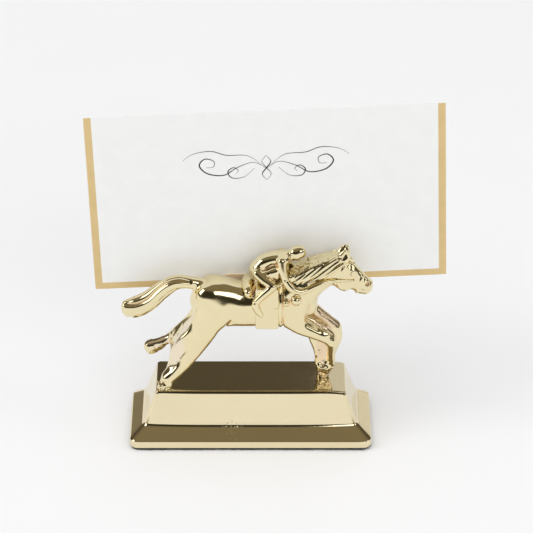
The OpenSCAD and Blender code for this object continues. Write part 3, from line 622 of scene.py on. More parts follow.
FAR_FORE = [
    (10.0, 2.62, 37.93, 2.19, 4.61), (13.25, 2.8, 34.5, 1.9, 2.8),
    (17.2, 2.5, 31.2, 1.8, 2.05), (20.6, 2.3, 28.0, 1.75, 2.1),
    (21.4, 2.1, 25.2, 1.6, 1.95), (20.6, 1.8, 22.0, 1.35, 1.5),
    (19.6, 1.3, 18.5, 1.25, 1.35)]
# Long locks of the mane on the flat of the neck
MANE = [
    [(24.2, 1.3, 50.5, 0.5, 0.55), (21.8, 2.45, 49.4, 0.42, 0.5), (19.2, 2.85, 47.4, 0.42, 0.5),
     (16.6, 3.2, 45.4, 0.36, 0.42), (14.6, 3.5, 44.2, 0.12, 0.2)],
    [(21.6, 2.2, 50.2, 0.4, 0.5), (18.8, 2.75, 48.5, 0.44, 0.52), (15.8, 3.2, 46.1, 0.42, 0.5),
     (13.0, 3.7, 44.3, 0.14, 0.2)],
    [(23.4, 2.2, 49.0, 0.34, 0.4), (21.2, 2.6, 47.6, 0.4, 0.46), (18.6, 2.95, 45.8, 0.34, 0.42),
     (16.4, 3.2, 44.7, 0.12, 0.2)],
    [(19.2, 2.2, 49.5, 0.36, 0.42), (16.6, 2.85, 47.8, 0.42, 0.5), (13.8, 3.4, 45.6, 0.38, 0.46),
     (11.6, 3.9, 44.3, 0.12, 0.2)],
    [(16.8, 2.2, 48.8, 0.34, 0.42), (14.6, 2.9, 47.1, 0.4, 0.48), (12.4, 3.5, 45.3, 0.34, 0.42),
     (10.6, 3.9, 44.4, 0.12, 0.2)],
    [(14.6, 2.2, 48.1, 0.34, 0.4), (12.8, 2.9, 46.6, 0.38, 0.46), (11.2, 3.5, 45.4, 0.12, 0.2)]]


def scaled(rows, drop, width, thickness):
    """Sections moved down by a share of their thickness, and scaled."""
    return [(x, y, z - drop * t, width * w, thickness * t) for x, y, z, w, t in rows]


def press_body(clay):
    clay.rod(scaled(BARREL, 0.05, 1, 1.05), power=2.1)
    x, y, z = clay.everywhere()
    belly = np.interp(x, [b[0] for b in BARREL], [b[2] - b[4] + 0.4 for b in BARREL])
    clay.field = np.maximum(clay.field, (belly - z).astype(np.float32))
    clay.rod(scaled(BARREL, 0.32, 0.97, 0.68), soft=1.0, power=3.4)
    clay.rod(NECK, soft=1.4)
    clay.rod(scaled(NECK, 0.3, 1, 0.62), soft=1.0, power=3.2)
    clay.rod(NEAR_HIND, soft=1.3, power=2.5)
    clay.rod(FAR_HIND, soft=1.3, power=2.3)
    clay.rod(NEAR_FORE, soft=1.1, power=2.5)
    clay.rod(FAR_FORE, soft=1.2, power=3.0)
    # Croup, haunch and shoulder
    clay.ball((-10.0, 2.1, 39.6), (3.6, 2.5, 3.4), 1.5, both=True, tilt=-15)
    clay.ball((-8.2, 3.1, 35.2), (3.4, 1.9, 4.2), 1.4, both=True, tilt=20)
    clay.rod([(9.6, 0, 34.6, 4.65, 2.7), (10.5, 0, 38.2, 4.75, 3.0), (11.4, 0, 41.4, 4.5, 2.9),
              (12.2, 0, 42.6, 3.9, 2.6)], soft=1.2, power=3.6)
    clay.ball((13.8, 1.5, 35.6), (2.2, 1.6, 2.4), 1.0, both=True)
    clay.ball((8.5, 0, 42.6), (3.2, 1.7, 1.5), 1.4)


def press_webs(clay):
    """Webs of metal that stiffen the casting between the legs."""
    edge = [(-11.8, -2.6, 37.0), (-15.2, -3.9, 30.4), (-17.4, -3.9, 27.8), (-19.2, -3.8, 24.4),
            (-19.5, -3.8, 21.4), (-20.3, -4.1, 19.2), (-21.3, -4.7, 17.8)]
    near = [(-9.6, -3.8, 36.5), (-11.4, -4.95, 30.3), (-13.0, -5.0, 26.9), (-15.0, -5.05, 23.8),
            (-16.9, -5.1, 21.2), (-18.7, -5.2, 19.3), (-20.8, -5.4, 17.4)]
    far = [(-11.6, 2.6, 34.6), (-13.5, 3.0, 31.8), (-16.2, 3.7, 28.6), (-19.4, 4.0, 25.4), (-19.9, 2.6, 22.4),
           (-20.4, -0.6, 19.6), (-21.4, -3.6, 17.9)]
    clay.sheet(near, edge, 1.0, 1.4)
    clay.sheet(edge, far, 0.6, 0.8)
    clay.sheet([(12.5, -1.2, 30.6), (15.6, -1.3, 28.6), (18.6, -1.2, 26.6), (20.2, -1.0, 25.2)],
               [(13.6, 1.6, 31.2), (17.0, 1.6, 29.2), (20.4, 1.6, 26.6), (20.9, 1.4, 25.0)], 0.9, 0.9)
    # A raised bar along the foreleg's upper edge
    bar = np.array([(14.7, -2.45, 31.5), (16.5, -2.65, 30.55), (18.1, -2.85, 29.7), (19.8, -3.05, 28.8)])
    half = np.array((0.18, 0.22, 0.31))
    clay.sheet(bar - half, bar + half, 0.4, 0.15)
    inner = [(14.9, 0.0, 28.0), (15.7, 0.0, 25.4), (16.9, -0.1, 22.0), (17.1, -0.1, 18.6), (17.5, 0.1, 16.4)]
    outer = [(19.6, 1.7, 27.2), (20.4, 1.5, 25.4), (20.6, 1.1, 22.2), (20.2, 0.7, 19.0), (19.6, 0.7, 16.4)]
    clay.sheet(inner, outer, 0.85, 0.6)


def press_feet(clay):
    for hoof in (NEAR_HIND_HOOF, FAR_HIND_HOOF, FORE_HOOF):
        clay.rod(hoof, soft=0.5, power=2.6)
    # Fetlocks and knees, then the lumps of metal round the hooves
    for centre, size in (
            ((-20.9, -5.2, 17.6), (1.35, 1.3, 1.2)), ((-22.2, 4.38, 22.5), (1.3, 1.35, 1.3)),
            ((19.9, 0.2, 18.3), (1.35, 1.35, 1.25)), ((20.3, -1.95, 26.1), (1.35, 1.25, 1.35)),
            ((21.3, 2.5, 28.0), (1.8, 1.5, 1.8))):
        clay.ball(centre, size, 0.5)
    for centre, size, soft in (
            ((-22.75, -5.9, 15.3), (1.1, 1.05, 1.0), 0.25), ((-20.75, -6.1, 15.75), (1.0, 0.95, 0.95), 0.25),
            ((17.6, -0.9, 18.0), (0.9, 0.8, 1.1), 0.3), ((19.2, -1.1, 17.4), (0.9, 0.7, 0.9), 0.3)):
        clay.ball(centre, size, soft)


def press_head(clay):
    clay.rod(TAIL, soft=0.9, power=2.2)
    clay.rod(HEAD, soft=0.8, power=2.3)
    clay.ball((23.1, 1.25, 43.6), (2.3, 1.0, 2.6), 0.6, both=True, tilt=20)
    clay.ball((28.8, 0, 41.2), (1.75, 1.7, 2.1), 0.6)
    clay.ball((27.6, 0.3, 40.4), (1.5, 0.9, 0.95), 0.5, both=True)
    clay.ball((23.6, 1.2, 41.9), (1.3, 0.85, 1.3), 0.6, both=True)
    clay.ball((25.4, 1.25, 46.4), (1.25, 0.6, 0.7), 0.5, both=True, tilt=-40)


def press_mane(clay):
    for lock in MANE:
        clay.rod(lock, soft=0.15, both=True)
    # Strands that the wind lays back from the crest
    poll, pitch, count = 23.4, 0.86, 15
    rng = np.random.default_rng(5)
    for k in range(count):
        x = poll - pitch * k
        z = np.interp(x, [10.7, 12.7, 14.7, 17.2, 19.7, 21.9], [46.9, 47.0, 47.9, 49.1, 50.0, 50.6])
        lie, fall = rng.uniform(-0.3, 0.3), rng.uniform(-0.3, 0.3)
        wide = 2.35 + 0.085 * (poll - x)
        clay.rod([(x, 0.35, z - 0.35, 0.45, 0.45), (x - 1.3 + lie, wide - 0.6, z - 0.85, 0.42, 0.46),
                  (x - 3.1 + lie, wide + 0.1, z - 2.0 + fall, 0.36, 0.42),
                  (x - 4.7 + lie, wide + 0.45, z - 3.3 + fall, 0.1, 0.16)], soft=0.1, steps=4, both=True)
    # Forelock, and ears with their shells
    clay.rod([(23.3, 0, 50.0, 0.7, 0.6), (24.9, 0.1, 49.3, 0.55, 0.5), (26.0, 0.2, 47.9, 0.3, 0.3)], soft=0.3)
    clay.rod([(22.9, 0.8, 48.9, 1.15, 1.7), (23.2, 1.15, 49.9, 1.1, 1.75), (23.6, 1.35, 51.0, 0.95, 1.5),
              (23.95, 1.4, 52.0, 0.5, 0.85)], soft=0.4, both=True)
    clay.rod([(23.65, 2.9, 50.3, 0.8, 0.9), (23.75, 2.63, 51.0, 0.8, 0.95), (23.9, 2.3, 51.7, 0.73, 0.6)],
             soft=0.08, power=3, both=True, away=True)


def draw_lines(clay):
    # Eye, nostril, mouth
    clay.ball((25.35, 1.72, 46.1), (0.5, 0.36, 0.4), 0.12, both=True, tilt=-35)
    clay.stroke([(24.7, 46.9), (25.3, 46.95), (26.0, 46.2)], 0.22, 0.16, (0.5, 3))
    clay.ball((29.45, 1.2, 42.55), (0.5, 0.4, 0.36), 0.2, both=True, away=True, tilt=-30)
    clay.stroke([(28.7, 43.1), (29.6, 43.35), (30.1, 42.7)], 0.22, 0.14, (0.4, 3))
    clay.stroke([(30.3, 40.9), (29.0, 40.85), (27.6, 41.15)], 0.2, -0.22, (0, 3))
    # Bridle: cheek strap, noseband, browband
    clay.stroke([(24.1, 48.6), (25.0, 46.6), (26.3, 44.3), (27.2, 42.0)], 0.24, 0.2, (0.3, 4), crisp=4)
    clay.stroke([(28.3, 44.9), (27.5, 43.2), (26.9, 41.2), (26.6, 39.9)], 0.28, 0.22, (0, 4), 0, crisp=4)
    clay.stroke([(23.9, 48.5), (22.6, 46.2), (21.9, 43.6), (22.6, 41.0)], 0.24, 0.16, (0.3, 4), crisp=4)
    # Parting and strand of the tail
    clay.stroke([(-14.6, 43.0), (-18.0, 43.6), (-20.9, 42.7), (-23.6, 40.5), (-25.8, 38.2), (-28.9, 36.7),
                 (-31.9, 36.5)], 0.34, -0.5, (0.1, 4), 0.12)
    clay.stroke([(-18.0, 41.6), (-20.6, 40.2), (-22.6, 38.2), (-24.4, 36.4)], 0.24, -0.14, (0.1, 4), 0.3)
    # Flank, hind tendons, elbow and shoulder
    clay.stroke([(-4.6, 34.2), (-5.6, 32.6), (-7.0, 30.6)], 0.5, -0.35, (1.5, 7), 0.4)
    clay.stroke([(-15.6, 26.6), (-16.8, 25.0), (-17.9, 23.4)], 0.22, -0.09, (3.0, 8), 0.5)
    clay.stroke([(-18.6, 21.8), (-19.5, 20.7), (-20.3, 19.4)], 0.2, -0.09, (3.0, 8), 0.5)
    clay.stroke([(7.6, 33.0), (8.6, 34.8), (9.2, 37.5)], 0.45, -0.25, (1.5, 7), 0.4)
    clay.stroke([(14.4, 38.4), (14.9, 35.6), (14.2, 32.8)], 0.6, -0.3, (0.8, 5), 0.4)


def roughen_skin(clay):
    """Rough casting where the wheel doesn't reach: (centre, size, relief, grain)."""
    for spot in (
            ((18.4, 1.4, 30.0), (5.0, 2.8, 3.4), 0.03, 1.2), ((18.2, 0.6, 22.5), (2.6, 2.6, 5.0), 0.06, 1.0),
            ((19.0, 0.0, 16.8), (3.2, 3.0, 2.6), 0.14, 0.9), ((-18.2, 1.6, 25.0), (3.8, 3.6, 5.4), 0.05, 0.9),
            ((-24.0, 4.2, 21.4), (3.8, 2.6, 2.4), 0.06, 0.9),
            ((-22.0, -5.6, 15.6), (2.6, 2.4, 1.7), 0.16, 0.9),
            ((4.4, 0.0, 43.6), (5.6, 4.4, 2.2), 0.08, 0.7), ((13.5, 0.0, 46.6), (5.4, 3.4, 2.3), 0.1, 0.5),
            ((17.5, 0, 49.2), (6.0, 3.0, 1.7), 0.1, 0.5), ((-30.0, 0.0, 33.0), (4.4, 2.2, 1.5), 0.06, 0.7),
            ((-1.0, 0.0, 31.0), (8.0, 3.6, 1.3), 0.1, 0.7)):
        clay.roughen(*spot)


def cut_seats(clay):
    """Flat soles, and the flat that the clip is riveted to."""
    x, y, z = clay.everywhere()
    clay.field = np.maximum(clay.field, BASE_H - z)
    at_x, at_y, at_z = (dot((x, y, z, 1), row) for row in clip_place().inverted()[:3])
    foot_middle, foot_half = -0.8, 4.8
    seat = np.maximum(np.abs(at_x) - CLIP_HALF, np.abs(at_z - foot_middle) - foot_half)
    clay.field = np.maximum(clay.field, -np.maximum(seat, CLIP_FACE - at_y)).astype(np.float32)


def sculpt_horse():
    low, high = np.array([-34.5, -8.2, 13.6]), np.array([32.2, 8.6, 54.2])
    clay = Clay(low, np.ceil((high - low) / STEP).astype(int) + 1)
    press_body(clay)
    press_webs(clay)
    press_feet(clay)
    clay.blur(0.32)
    press_head(clay)
    clay.blur(0.14)
    press_mane(clay)
    draw_lines(clay)
    roughen_skin(clay)
    # Girth strap, the shoulder's two bosses, the coronets and the clip's bosses
    clay.stroke([(7.5, 44.0), (7.5, 38.0), (7.55, 30.5)], 0.42, 0.2, (-1, 9), 0, crisp=6)
    clay.stroke([(8.2, 43.0), (8.15, 38.0), (8.2, 30.5)], 0.22, -0.25, (-1, 9), 0.1)
    clay.ball((8.95, 5.1, 39.3), (0.85, 0.9, 0.9), 0.1, both=True)
    clay.ball((11.5, 4.95, 39.9), (1.25, 1.05, 1.25), 0.2, both=True)
    clay.stroke([(-23.4, 15.6), (-21.9, 15.2), (-20.3, 15.5)], 0.2, -0.16, (3, 8))
    clay.stroke([(16.9, 15.4), (18.6, 15.2), (20.4, 15.9)], 0.2, -0.16, (-1, 4))
    boss_r, boss_from, boss_to = 1.7, -6.0, -0.9
    for x in (-RIVET_X, RIVET_X):
        ends = [clip_place() @ Vector((x, y, RIVET_Z)) for y in (boss_from, boss_to)]
        clay.rod([(*end, boss_r, boss_r) for end in ends], soft=0.4, steps=1)
    clay.blur(0.1)
    cut_seats(clay)
    return clay


# Jockey, with the saddle, its cloth and the reins

RIDER_BACK = [
    (1.75, 0, 46.2, 2.4, 1.9), (3.25, 0, 48.2, 2.3, 1.95), (6.0, 0, 49.5, 2.3, 1.7),
    (8.3, 0, 49.6, 2.5, 1.55)]
THIGH = [(1.9, -2.3, 46.2, 1.4, 1.4), (3.75, -3.9, 45.0, 1.15, 1.2), (5.75, -4.9, 44.05, 0.95, 1.0)]
SHIN = [
    (5.75, -4.9, 43.9, 1.0, 1.05), (3.44, -5.3, 41.9, 0.95, 1.0), (1.5, -5.5, 39.8, 0.9, 0.95),
    (1.2, -5.55, 38.7, 0.85, 0.9)]
BOOT = [(1.2, -5.55, 38.8, 0.85, 0.9), (1.9, -5.65, 37.3, 0.8, 0.9), (2.75, -5.65, 36.0, 0.55, 0.6)]
ARM = [
    (7.9, -2.3, 49.7, 1.25, 1.3), (8.1, -3.2, 47.4, 1.05, 1.1), (8.8, -3.75, 44.9, 1.05, 1.05),
    (10.4, -4.1, 42.9, 1.0, 1.0), (12.2, -4.2, 42.05, 0.85, 0.92), (13.9, -4.05, 42.2, 0.75, 0.85)]
REIN = [
    (13.7, -4.05, 42.15, 0.7, 0.8), (16.2, -3.7, 43.2, 0.55, 0.7), (18.7, -3.2, 44.1, 0.5, 0.62),
    (21.2, -2.75, 44.3, 0.42, 0.52), (23.6, -2.4, 44.2, 0.36, 0.44), (25.9, -2.0, 43.95, 0.28, 0.34)]


def drape_saddle(clay, under):
    """Saddle and cloth, from the horse's own form."""
    x, y, z = clay.everywhere()

    def plate(x0, x1, z0, z1, r, lean=0.0):
        mid_x, mid_z = (x0 + x1) / 2, (z0 + z1) / 2
        dx = np.abs(x - mid_x - lean * (z - mid_z)) - (x1 - x0) / 2 + r
        dz = np.abs(z - mid_z) - (z1 - z0) / 2 + r
        return np.hypot(np.maximum(dx, 0), np.maximum(dz, 0)) + np.minimum(np.maximum(dx, dz), 0) - r

    # The cloth hangs straight down, clear of the barrel's lower half
    inner = 3.9 * np.clip((39.0 - z) / 3.0, 0, 1)
    flap = np.maximum(plate(1.3, 7.1, 31.8, 43.4, 0.7), np.maximum(np.abs(y) - 5.3, inner - np.abs(y)))
    cloth = np.maximum(np.maximum(under - 0.5, plate(1.3, 7.1, 38.0, 52.0, 0.7)), z - 45.5)
    saddle = np.maximum(np.maximum(under - 0.62, plate(0.2, 6.6, 40.2, 56.0, 1.4, 0.2)), z - 46.0)
    for shape, soft in ((flap, 0.1), (cloth, 0.3), (saddle, 0.4)):
        clay.press(..., shape, soft)
    clay.ball((-0.5, 0, 41.5), (2.0, 4.9, 2.25), 0.4)
    clay.stroke([(6.7, 43.0), (6.7, 38.0), (6.72, 32.0)], 0.2, 0.14, (2.5, 7), 0)
    clay.stroke([(1.6, 36.0), (1.65, 32.6), (2.0, 32.15), (6.4, 32.1)], 0.2, 0.1, (2.5, 7), 0)
    clay.roughen((3.0, 0, 43.6), (3.6, 3.6, 2.0), 0.05, 0.7)
    clay.blur(0.09)
    # Laid a little into the horse, and no farther back than the clip allows
    clay.field = np.maximum(clay.field, -(under + 0.22))
    clay.field = np.maximum(clay.field, y - 6.0).astype(np.float32)


def sculpt_jockey(horse):
    clay, under = horse.part([-3.6, -7.2, 29.0], [27.5, 7.2, 54.0])
    clay.rod(RIDER_BACK, soft=0.6)
    clay.ball((8.6, 0, 49.7), (1.9, 2.9, 1.5), 0.7, tilt=-10)
    clay.ball((1.6, 0, 46.3), (1.8, 2.6, 1.9), 0.7)
    # Neck, head, and the shirt's front
    clay.rod([(8.6, 0, 50.1, 1.1, 1.0), (10.4, 0, 50.7, 1.05, 1.0)], soft=0.5)
    clay.rod([(10.3, 0, 50.2, 1.45, 1.5), (11.3, 0, 50.7, 1.8, 1.95), (12.4, 0, 51.2, 1.65, 1.75)], soft=0.3)
    clay.rod([(2.6, 0, 45.4, 3.5, 1.5), (5.4, 0, 46.1, 3.75, 2.0), (7.9, 0, 46.9, 3.6, 1.9)], 0.6, power=3.2)
    for limb, soft in ((THIGH, 0.5), (SHIN, 0.3), (BOOT, 0.25), (ARM, 0.4)):
        clay.rod(limb, soft, both=True)
    clay.blur(0.12)
    clay.rod(REIN, soft=0.12, both=True)
    # Peak of the cap, collar and boot top
    clay.ball((12.9, 0, 51.95), (0.9, 1.15, 0.35), 0.2, tilt=-18)
    clay.groove([(9.6, -1.3, 49.9), (9.9, -0.9, 51.1), (10.0, 0, 51.6), (9.9, 0.9, 51.1), (9.6, 1.3, 49.9)],
                0.2, -0.08)
    clay.stroke([(0.4, 40.2), (1.4, 39.9), (2.4, 40.3)], 0.16, -0.14, (3, 7))
    # Folds of the shirt at elbow and waist
    clay.stroke([(3.4, 47.2), (4.6, 48.0), (5.6, 49.2)], 0.3, -0.14, (0.4, 5), 0.4)
    clay.stroke([(8.2, 45.9), (9.0, 45.6), (9.9, 45.9)], 0.2, -0.12, (2, 5))
    drape_saddle(clay, under)
    return clay


horse_clay = sculpt_horse()
# Skin between and behind the legs that the wheel doesn't reach
RAW_SKIN = [
    ((-18.4, -3.6, 24.6), (3.4, 2.6, 6.6), 0.8, 0.0), ((-15.6, -1.2, 29.6), (3.2, 2.4, 3.2), 0.8, 0.0),
    ((-22.6, 4.3, 22.2), (4.6, 2.8, 3.0), 0.55, 0.2), ((18.4, 2.6, 30.4), (5.4, 3.6, 4.2), 0.3, 0.8),
    ((17.9, 0.6, 22.4), (2.0, 2.4, 5.6), 0.3, 0.75), ((18.6, 0.4, 16.4), (3.0, 3.0, 2.4), 0.3, 0.4),
    ((0.0, 0.0, 30.6), (9.0, 4.2, 1.5), 0.4, 0.6)]
casting(horse_clay, "horse", "holder", polished_brass, ["horse_casting"], RAW_SKIN)
jockey_clay = sculpt_jockey(horse_clay)
casting(jockey_clay, "jockey", "holder", polished_brass, ["jockey_casting"])


# Base


def bowed_ring(hx, hy, r, z, bow=0.0):
    """One level of the base, with the outward bow of its long sides."""
    arcs = corner_arcs(hx, hy, r, 10)
    points = []
    for arc, following, cuts in zip(arcs, arcs[1:] + arcs[:1], (28, 12, 28, 12)):
        (x0, y0), (x1, y1) = arc[-1][:2], following[0][:2]
        points += [p[:2] for p in arc]
        points += [(x0 + (x1 - x0) * k / cuts, y0 + (y1 - y0) * k / cuts) for k in range(1, cuts)]
    return [(x, y + math.copysign(bow, y) * (1 - min(abs(x) / hx, 1) ** 4), z) for x, y in points]


FOOT_X, FOOT_Y, FOOT_Z = BASE_L / 2 - BEVEL_IN, BASE_D / 2 - BEVEL_IN, BAND_TOP + BEVEL_UP
PLATE_X, PLATE_Y, PLINTH_H = FOOT_X - PLINTH_IN_X, FOOT_Y - PLINTH_IN_Y, BASE_H - FOOT_Z


def rolled(x, y, z, inward):
    """A point after polishing, which has rolled off the right end and the front edge
    of the plinth's top a little. Its sides follow inward."""
    high = min(max((z - BASE_H + 2.6) / 2.3, 0), 1)
    end = min(max((x - 17.2) / 6.75, 0), 1)
    front = min(max((-y - 5.9) / 1.4, 0), 1)
    drop = high ** 2 * (3 - 2 * high) * (0.45 * end ** 2 + 0.04 * front ** 2)
    if inward:
        x += math.copysign(PLINTH_IN_X / PLINTH_H, x) * drop * (abs(x) > PLATE_X - 1.0)
        y += math.copysign(PLINTH_IN_Y / PLINTH_H, y) * drop * (abs(y) > PLATE_Y - 1.0)
    return x, y, z - drop


def build_base():
    """Base casting: band, bevel, hollow sweep and plinth, open below for the felt."""
    edge_r, sweep_r, band_r, bevel_r, foot_r, plate_r, bow = 0.22, 0.5, 2.2, 2.0, 1.29, 0.9, 0.7
    bevel = BEVEL_UP / BEVEL_IN
    rings = []

    def band(off, z):
        rings.append(bowed_ring(BASE_L / 2 - off, BASE_D / 2 - off, band_r - off, z))

    def plinth(rise, out, z):
        """A level at a share of the plinth's rise, out by so much of the sweep."""
        rings.append(bowed_ring(FOOT_X + out - PLINTH_IN_X * rise, FOOT_Y + out - PLINTH_IN_Y * rise,
                                plate_r + (foot_r - plate_r) * (1 - rise) + out / 2, z, bow * (1 - rise)))

    for a in np.radians(np.linspace(0, 90, 5)):
        band(edge_r * (1 - math.sin(a)), FELT_T + edge_r * (1 - math.cos(a)))
    for a in np.linspace(0, math.pi / 2 - math.atan(bevel), 6):
        band(edge_r * (1 - math.cos(a)), BAND_TOP - edge_r * 0.9 + edge_r * math.sin(a))
    for t in (0.0, 0.03, 0.35, 0.7, 0.95):
        out = BEVEL_IN - 0.25 + (sweep_r - BEVEL_IN + 0.25) * t
        rings.append(bowed_ring(FOOT_X + out, FOOT_Y + out, foot_r + (bevel_r - foot_r) * out / BEVEL_IN,
                                FOOT_Z - bevel * out, bow * t))
    for a in np.radians(np.linspace(0, 90, 10)):
        out, up = sweep_r * (1 - math.sin(a)), sweep_r * (1 - math.cos(a))
        plinth(up / PLINTH_H, out, FOOT_Z - bevel * out + up)
    for t in (0.3, 0.6, 0.74, 0.8, 0.87, 0.93, 0.985):
        rise = sweep_r / PLINTH_H + t * (1 - (sweep_r + edge_r) / PLINTH_H)
        plinth(rise, 0, FOOT_Z + rise * PLINTH_H)
    for a in np.radians(np.linspace(0, 90, 6)):
        off = edge_r * (1 - math.cos(a))
        rings.append(bowed_ring(PLATE_X - off, PLATE_Y - off, plate_r - off / 2,
                                BASE_H - edge_r + edge_r * math.sin(a)))
    top = []
    for t in (0.02, 0.045, 0.075, 0.11, 0.15, 0.19, 0.24, 0.32, 0.42, 0.55, 0.7, 0.97):
        across = min(1.0, 3 * t if t < 0.2 else 0.6 + 0.5 * (t - 0.2))
        top.append([(x * (1 - t), y * (1 - across), BASE_H) for x, y, z in rings[-1]])
    # Inside of the hollow, from its ceiling down
    wall = 1.8
    ceiling = BASE_H - wall
    levels = [bowed_ring(PLATE_X - wall, PLATE_Y - wall, plate_r, ceiling)]
    levels += [bowed_ring(FOOT_X - wall, FOOT_Y - wall, plate_r, z) for z in (FOOT_Z, FELT_T)]
    levels += [[rolled(*p, True) for p in ring] for ring in rings]
    levels += [[rolled(*p, False) for p in ring] for ring in top]
    verts = sum(levels, [])
    faces = ring_faces(len(levels), len(top[0]))
    close_ends(verts, faces, len(top[0]), (0, 0, ceiling), (0, 0, BASE_H))
    # Tubes inside that take the screws
    tube_r, bore_r, sides = 2.1, 0.88, 32
    for hx, hy in SCREWS:
        tube = ring_faces(4, sides, len(verts))
        faces += [face[::-1] for face in tube]
        for radius, z in ((tube_r, 0.4), (tube_r, -2.6), (bore_r, -2.6), (bore_r, 0.4)):
            verts += [(hx + radius * math.cos(a), hy + radius * math.sin(a), ceiling + z)
                      for a in np.arange(sides) * 2 * math.pi / sides]
    obj = piece("base", verts, faces, base_brass, "holder", replaces=["base_casting"])
    sharpen(obj, 38)


build_base()


# Felt


def build_felt():
    """Felt pad: a rounded plate whose edge frays, with single fibres standing out."""
    rng = np.random.default_rng(11)
    outline = sum(corner_arcs(BASE_L / 2 - FELT_IN, BASE_D / 2 - FELT_IN, 2.2, 14), [])
    dense, longest = [], 0.45
    for i, p in enumerate(outline):
        q = outline[(i + 1) % len(outline)]
        m = max(1, int(math.hypot(q[0] - p[0], q[1] - p[1]) / longest))
        dense += [[a + (b - a) * k / m for a, b in zip(p, q)] for k in range(m)]
    n = len(dense)
    wob = np.zeros(n)
    for wave in range(1, 90):
        swing, phase = rng.normal(), rng.uniform(0, 6.3)
        wob += swing / wave ** 0.6 * np.cos(2 * math.pi * wave * np.arange(n) / n + phase)
    wob *= 0.06 / wob.std()
    levels = [(-0.35, 0.0), (-0.06, 0.0), (0.04, 0.1), (0.10, 0.3), (0.08, 0.52), (0.0, 0.72), (-0.3, FELT_T)]
    verts = []
    for out, z in levels:
        extra = out + wob * (1 if out > -0.2 else 0.2) + rng.normal(0, 0.025, n) * (out > -0.2)
        for (x, y, nx, ny), o in zip(dense, extra):
            verts.append((x + nx * o, y + ny * o, z + (rng.normal(0, 0.02) if 0 < z < FELT_T else 0)))
    faces = ring_faces(len(levels), n)
    close_ends(verts, faces, n, (0, 0, 0), (0, 0, FELT_T))
    # Fibres: curved three-sided hairs rooted in the edge, longer at the right front
    for _ in range(1300):
        x, y, nx, ny = dense[rng.integers(n)]
        z = rng.uniform(0.05, 0.72)
        length = rng.uniform(0.15, 0.55) * (1.5 if rng.random() < 0.1 else 1)
        length *= 1.3 if x > 10 and ny < 0 else 1
        side, lift, thick = rng.uniform(-1.4, 1.4), rng.uniform(-0.5, 0.35), rng.uniform(0.012, 0.024)
        start = len(verts)
        for f in (0, 1 / 3, 2 / 3, 1):
            bend = side * length * f * f
            cx = x + nx * (0.02 + length * f) - ny * bend
            cy = y + ny * (0.02 + length * f) + nx * bend
            cz = max(z + lift * length * f, 0.02)
            wide = thick * (1 - 0.75 * f)
            verts += [(cx - ny * wide, cy + nx * wide, cz), (cx + ny * wide, cy - nx * wide, cz),
                      (cx, cy, cz + 1.6 * wide)]
        faces += ring_faces(4, 3, start)
        faces.append((start + 9, start + 10, start + 11))
    piece("felt_sheet", verts, faces, felt, "holder", replaces=["felt_pad"])


build_felt()


# Card


def bent(x, z):
    """How far card stock that has been handled bows out of its plane, in mm."""
    u, v = x / (CARD_W / 2), z / CARD_H
    edge = max(0.0, abs(u) - 0.25)
    return 0.16 * edge * edge * math.sin(2.2 * v + 0.5) + 0.03 * math.sin(3 * u + 1.7 * v) * (edge > 0)


def build_front_leaf():
    """Front leaf, with the gold border as its own faces and a thinned upper edge
    that the fold lies behind."""
    place = card_place()
    field = CARD_W / 2 - BORDER
    xs = [-CARD_W / 2, *np.linspace(-field, field, 41), CARD_W / 2]
    top, lip_t = CARD_H - 2 * FOLD_R - 0.1, 0.075
    zs = [0.0, *np.linspace(BORDER, top, 25), top + 0.02, CARD_H - 0.06]
    verts, faces, gold = [], [], []
    nx, nz = len(xs), len(zs)
    for face_y in (-1, 1):
        for z in zs:
            for x in xs:
                y = lip_t - CARD_T / 2 if face_y > 0 and z > top else face_y * CARD_T / 2
                verts.append(place @ Vector((x, y + bent(x, z) * 0.5 * (1 - (z / CARD_H) ** 6), z)))
    plane = nx * nz
    for j in range(nz - 1):
        for i in range(nx - 1):
            a = j * nx + i
            quad = (a, a + 1, a + 1 + nx, a + nx)
            faces += [quad, tuple(v + plane for v in quad[::-1])]
            gold += [int(i in (0, nx - 2) or j == 0), 0]
    rim = [(i, 0) for i in range(nx)] + [(nx - 1, j) for j in range(1, nz)] + \
          [(i, nz - 1) for i in range(nx - 2, -1, -1)] + [(0, j) for j in range(nz - 2, 0, -1)]
    for (i, j), (i2, j2) in zip(rim, rim[1:] + rim[:1]):
        a, b = j * nx + i, j2 * nx + i2
        faces.append((a, a + plane, b + plane, b))
        gold.append(int(min(j, j2) < nz - 1))
    obj = piece("card_front", verts, faces, [card_white, card_gold], "card_front",
                replaces=["card_front_leaf"])
    obj.data.polygons.foreach_set("material_index", gold)
    bevel_edges(obj, 0.03)


def arc(r, start, end, count):
    return [(r * math.cos(a), r * math.sin(a)) for a in np.radians(np.linspace(start, end, count))]


